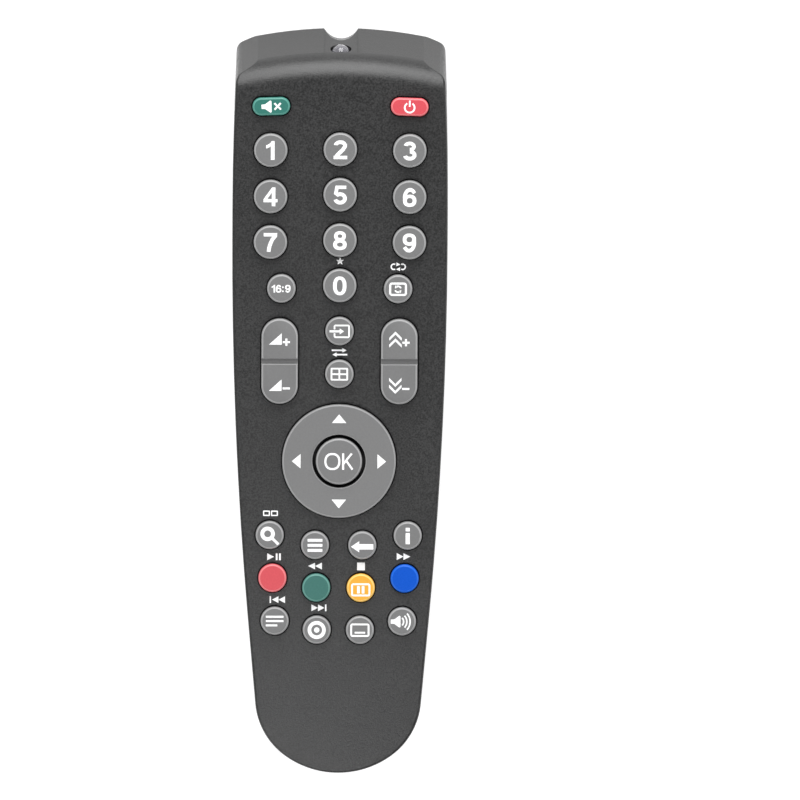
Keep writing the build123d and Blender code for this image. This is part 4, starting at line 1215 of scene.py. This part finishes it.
rockerMarks = {
    "away": 6.4,  # from the middle of the rocker
    "lower": 0.2,
    "markX": -1.05,
    "wedge": [(-1.9, -1.55), (1.6, -1.55), (1.6, 1.6)],
    "chevron": [(-1.7, -1.25), (0, 0.45), (1.7, -1.25), (1.7, -0.45), (0, 1.25), (-1.7, -0.45)],
    "chevronStep": 0.95,
    "signX": 1.85,
    "signDrop": 0.85,
    "signSize": 2.0,
    "signLine": 0.55,
}
for node in ("rocker_volume", "rocker_channel"):
    markX, signX = rockerMarks["markX"], rockerMarks["signX"]
    size, line = rockerMarks["signSize"], rockerMarks["signLine"]
    loops = []
    for way in (1, -1):
        middle = way * rockerMarks["away"] - rockerMarks["lower"]
        if node == "rocker_volume":
            loops.append([(markX + px, middle + py) for px, py in rockerMarks["wedge"]])
        else:
            for step in (-rockerMarks["chevronStep"], rockerMarks["chevronStep"]):
                place = middle + step * way
                loops.append([(markX + px, place + py * way) for px, py in rockerMarks["chevron"]])
        drop = middle - rockerMarks["signDrop"]
        if way > 0:
            loops.append(plusLoop(signX, drop, size, line))
        else:
            loops.append(roundBox(signX, drop, size, line, 0.05))
    printOnKey(flatPrint(node.replace("rocker_", "print_"), loops), node)

ringMarks = {"radius": 11.8, "base": 4.0, "reach": 2.4}
loops = []
for turn in (0, 90, 180, 270):
    px, py = turned([(ringMarks["radius"], 0)], 0, 0, turn)[0]
    loops.append(triangle(px, py, ringMarks["reach"], ringMarks["base"], turn))


def ringSurface(px, py):
    return keyFace["middle"] + dishAt(math.hypot(px - ringX, py - ringY))


layPrint(flatPrint("print_ring", loops), "nav_ring", ringX, ringY, ringSurface)

# marks on the key face itself, by place on the case in mm
mediaHigh = 1.9
mediaLong = 1.8
faceMarks = {
    "star": [starLoop(0.05, 39.55, 1.15)],
    "chase": [
        arcBand(14.9, 38.05, 0.75, 0.36, 60, 300, 16),
        arcBand(17.3, 38.05, 0.75, 0.36, -120, 120, 16),
        triangle(16.15, 38.72, 1.1, 1.05, 0),
        triangle(16.05, 37.38, 1.1, 1.05, 180),
    ],
    "swap": [
        arrowLoop(-0.1, 14.9, 4.1, 1.15, 1.2, 0.46),
        arrowLoop(0.1, 13.7, 4.1, 1.15, 1.2, 0.46, 180),
    ],
    "squares": frameLoops(-19.95, -30.35, 1.9, 1.5, 0.32, 0.2)
    + frameLoops(-17.75, -30.35, 1.9, 1.5, 0.32, 0.2),
    "playPause": [
        triangle(-18.75, -42.4, 1.9, mediaHigh),
        roundBox(-17.1, -42.4, 0.5, mediaHigh, 0.04),
        roundBox(-16.2, -42.4, 0.5, mediaHigh, 0.04),
    ],
    "rewind": [
        triangle(-7.45, -44.9, 1.9, mediaHigh, 180),
        triangle(-5.55, -44.9, 1.9, mediaHigh, 180),
    ],
    "stop": [roundBox(6.2, -44.95, 2.15, 2.15, 0.08)],
    "forward": [triangle(17.0, -42.2, 1.9, mediaHigh), triangle(18.85, -42.2, 1.9, mediaHigh)],
    "skipBack": [
        roundBox(-18.8, -54.3, 0.4, mediaHigh, 0.04),
        triangle(-17.45, -54.3, mediaLong, mediaHigh, 180),
        triangle(-15.65, -54.3, mediaLong, mediaHigh, 180),
    ],
    "skipOn": [
        triangle(-6.55, -56.5, mediaLong, mediaHigh),
        triangle(-4.75, -56.5, mediaLong, mediaHigh),
        roundBox(-3.5, -56.5, 0.4, mediaHigh, 0.04),
    ],
}
faceLoops = [loop for loops in faceMarks.values() for loop in loops]
layPrint(flatPrint("print_face", faceLoops), "root", 0, 0, faceHeight)
printed = [piece for piece in bpy.data.objects if piece.name.startswith("print_")]
print("printed marks:", len(printed), "pieces")

# infrared lamp: clear resin over its reflector cup, places along the case in mm
lampShape = {
    "radius": 2.5,
    "rim": 2.95,
    "rimLength": 1.0,
    "ease": 0.12,
    "neck": 0.05,
    "back": 90.2,
    "tip": 98.8,
    "height": 14.275,
    "domeSteps": 14,
    "lensSteps": 64,
    "cup": [
        (0.0, 91.4), (0.45, 91.4), (0.55, 93.6), (1.05, 94.1), (1.1, 94.9), (0.95, 94.9),
        (0.55, 94.35), (0.0, 94.3),
    ],
    "cupSteps": 40,
}
lampAxis = Vector((0, 0, lampShape["height"] * mm))
rim, ease, back = lampShape["rim"], lampShape["ease"], lampShape["back"]
rimFront = back + lampShape["rimLength"]
lensSection = [
    (0.0, back),
    (rim - ease, back),
    (rim, back + ease),
    (rim, rimFront - ease),
    (rim - ease, rimFront),
    (lampShape["radius"], rimFront + lampShape["neck"]),
]
lensEnd = lampShape["tip"] - lampShape["radius"]
lensSection += arcPoints(0.0, lensEnd, lampShape["radius"], 0, 90, lampShape["domeSteps"])
forward = Vector((0, 1, 0))
lens = turnSection("lampLens", lensSection, lampAxis, forward, lampShape["lensSteps"])
softShade(lens, 40)
dress(lens, "root", "lamp_lens", "ir_led")
cup = turnSection("lampCup", lampShape["cup"], lampAxis, forward, lampShape["cupSteps"])
softShade(cup, 40)
dress(cup, "root", "contact_steel")
print("lamp: lens and cup")

# cells: sleeve, crimped shoulder and button, turned from one section
cellShape = {
    "radius": 7.25,
    "length": 50.5,
    "crimp": 0.12,
    "metal": 6.7,  # bare metal inside this radius
    "band": 9.5,  # copper coloured band at the plus end
    "steps": 72,
}
cellBand = plainPlastic("cellBand", tint(176, 126, 62), 0.26)


def cellSection():
    # from the middle of the minus end, round the sleeve, to the middle of the button
    sleeve = cellShape["radius"]
    crimp = sleeve - cellShape["crimp"]
    return [
        (0.0, 0.0), (4.2, 0.0), (4.5, 0.18), (6.0, 0.18), (6.2, 0.0), (6.75, 0.0), (7.1, 0.15),
        (sleeve, 0.5), (sleeve, 1.2), (crimp, 1.3), (crimp, 1.5), (sleeve, 1.6),
        (sleeve, 47.9), (crimp, 48.0), (crimp, 48.2), (sleeve, 48.3), (sleeve, 48.9),
        (7.0, 49.35), (6.6, 49.45), (6.2, 49.2), (4.6, 49.2), (4.3, 49.4), (2.95, 49.4),
        (2.75, 49.5), (2.75, 50.25), (2.55, cellShape["length"]), (0.0, cellShape["length"]),
    ]


def modelCell(name, node, plusForward):
    lo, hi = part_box(node)
    x = (lo[0] + hi[0]) / 2
    z = (lo[2] + hi[2]) / 2
    way = 1 if plusForward else -1
    start = lo[1] if plusForward else hi[1]
    cell = turnSection(name, cellSection(), Vector((x, start, z)), forward * way, cellShape["steps"])
    softShade(cell, 35)
    dress(cell, "root", "cell_jacket", node)
    cell.data.materials.append(finishes["contact_steel"])
    cell.data.materials.append(cellBand)
    for face in cell.data.polygons:
        along = abs(face.center.y - start) / mm
        out = math.hypot(face.center.x - x, face.center.z - z) / mm
        if out < cellShape["metal"]:
            face.material_index = 1
        elif along > cellShape["length"] - cellShape["band"]:
            face.material_index = 2


# the cells lie opposite ways, and the one that reaches further forward has its plus end there
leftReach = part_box("battery_left")[1][1]
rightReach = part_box("battery_right")[1][1]
modelCell("cellLeft", "battery_left", leftReach > rightReach)
modelCell("cellRight", "battery_right", rightReach > leftReach)
print("cells: 2")

looseSelection()
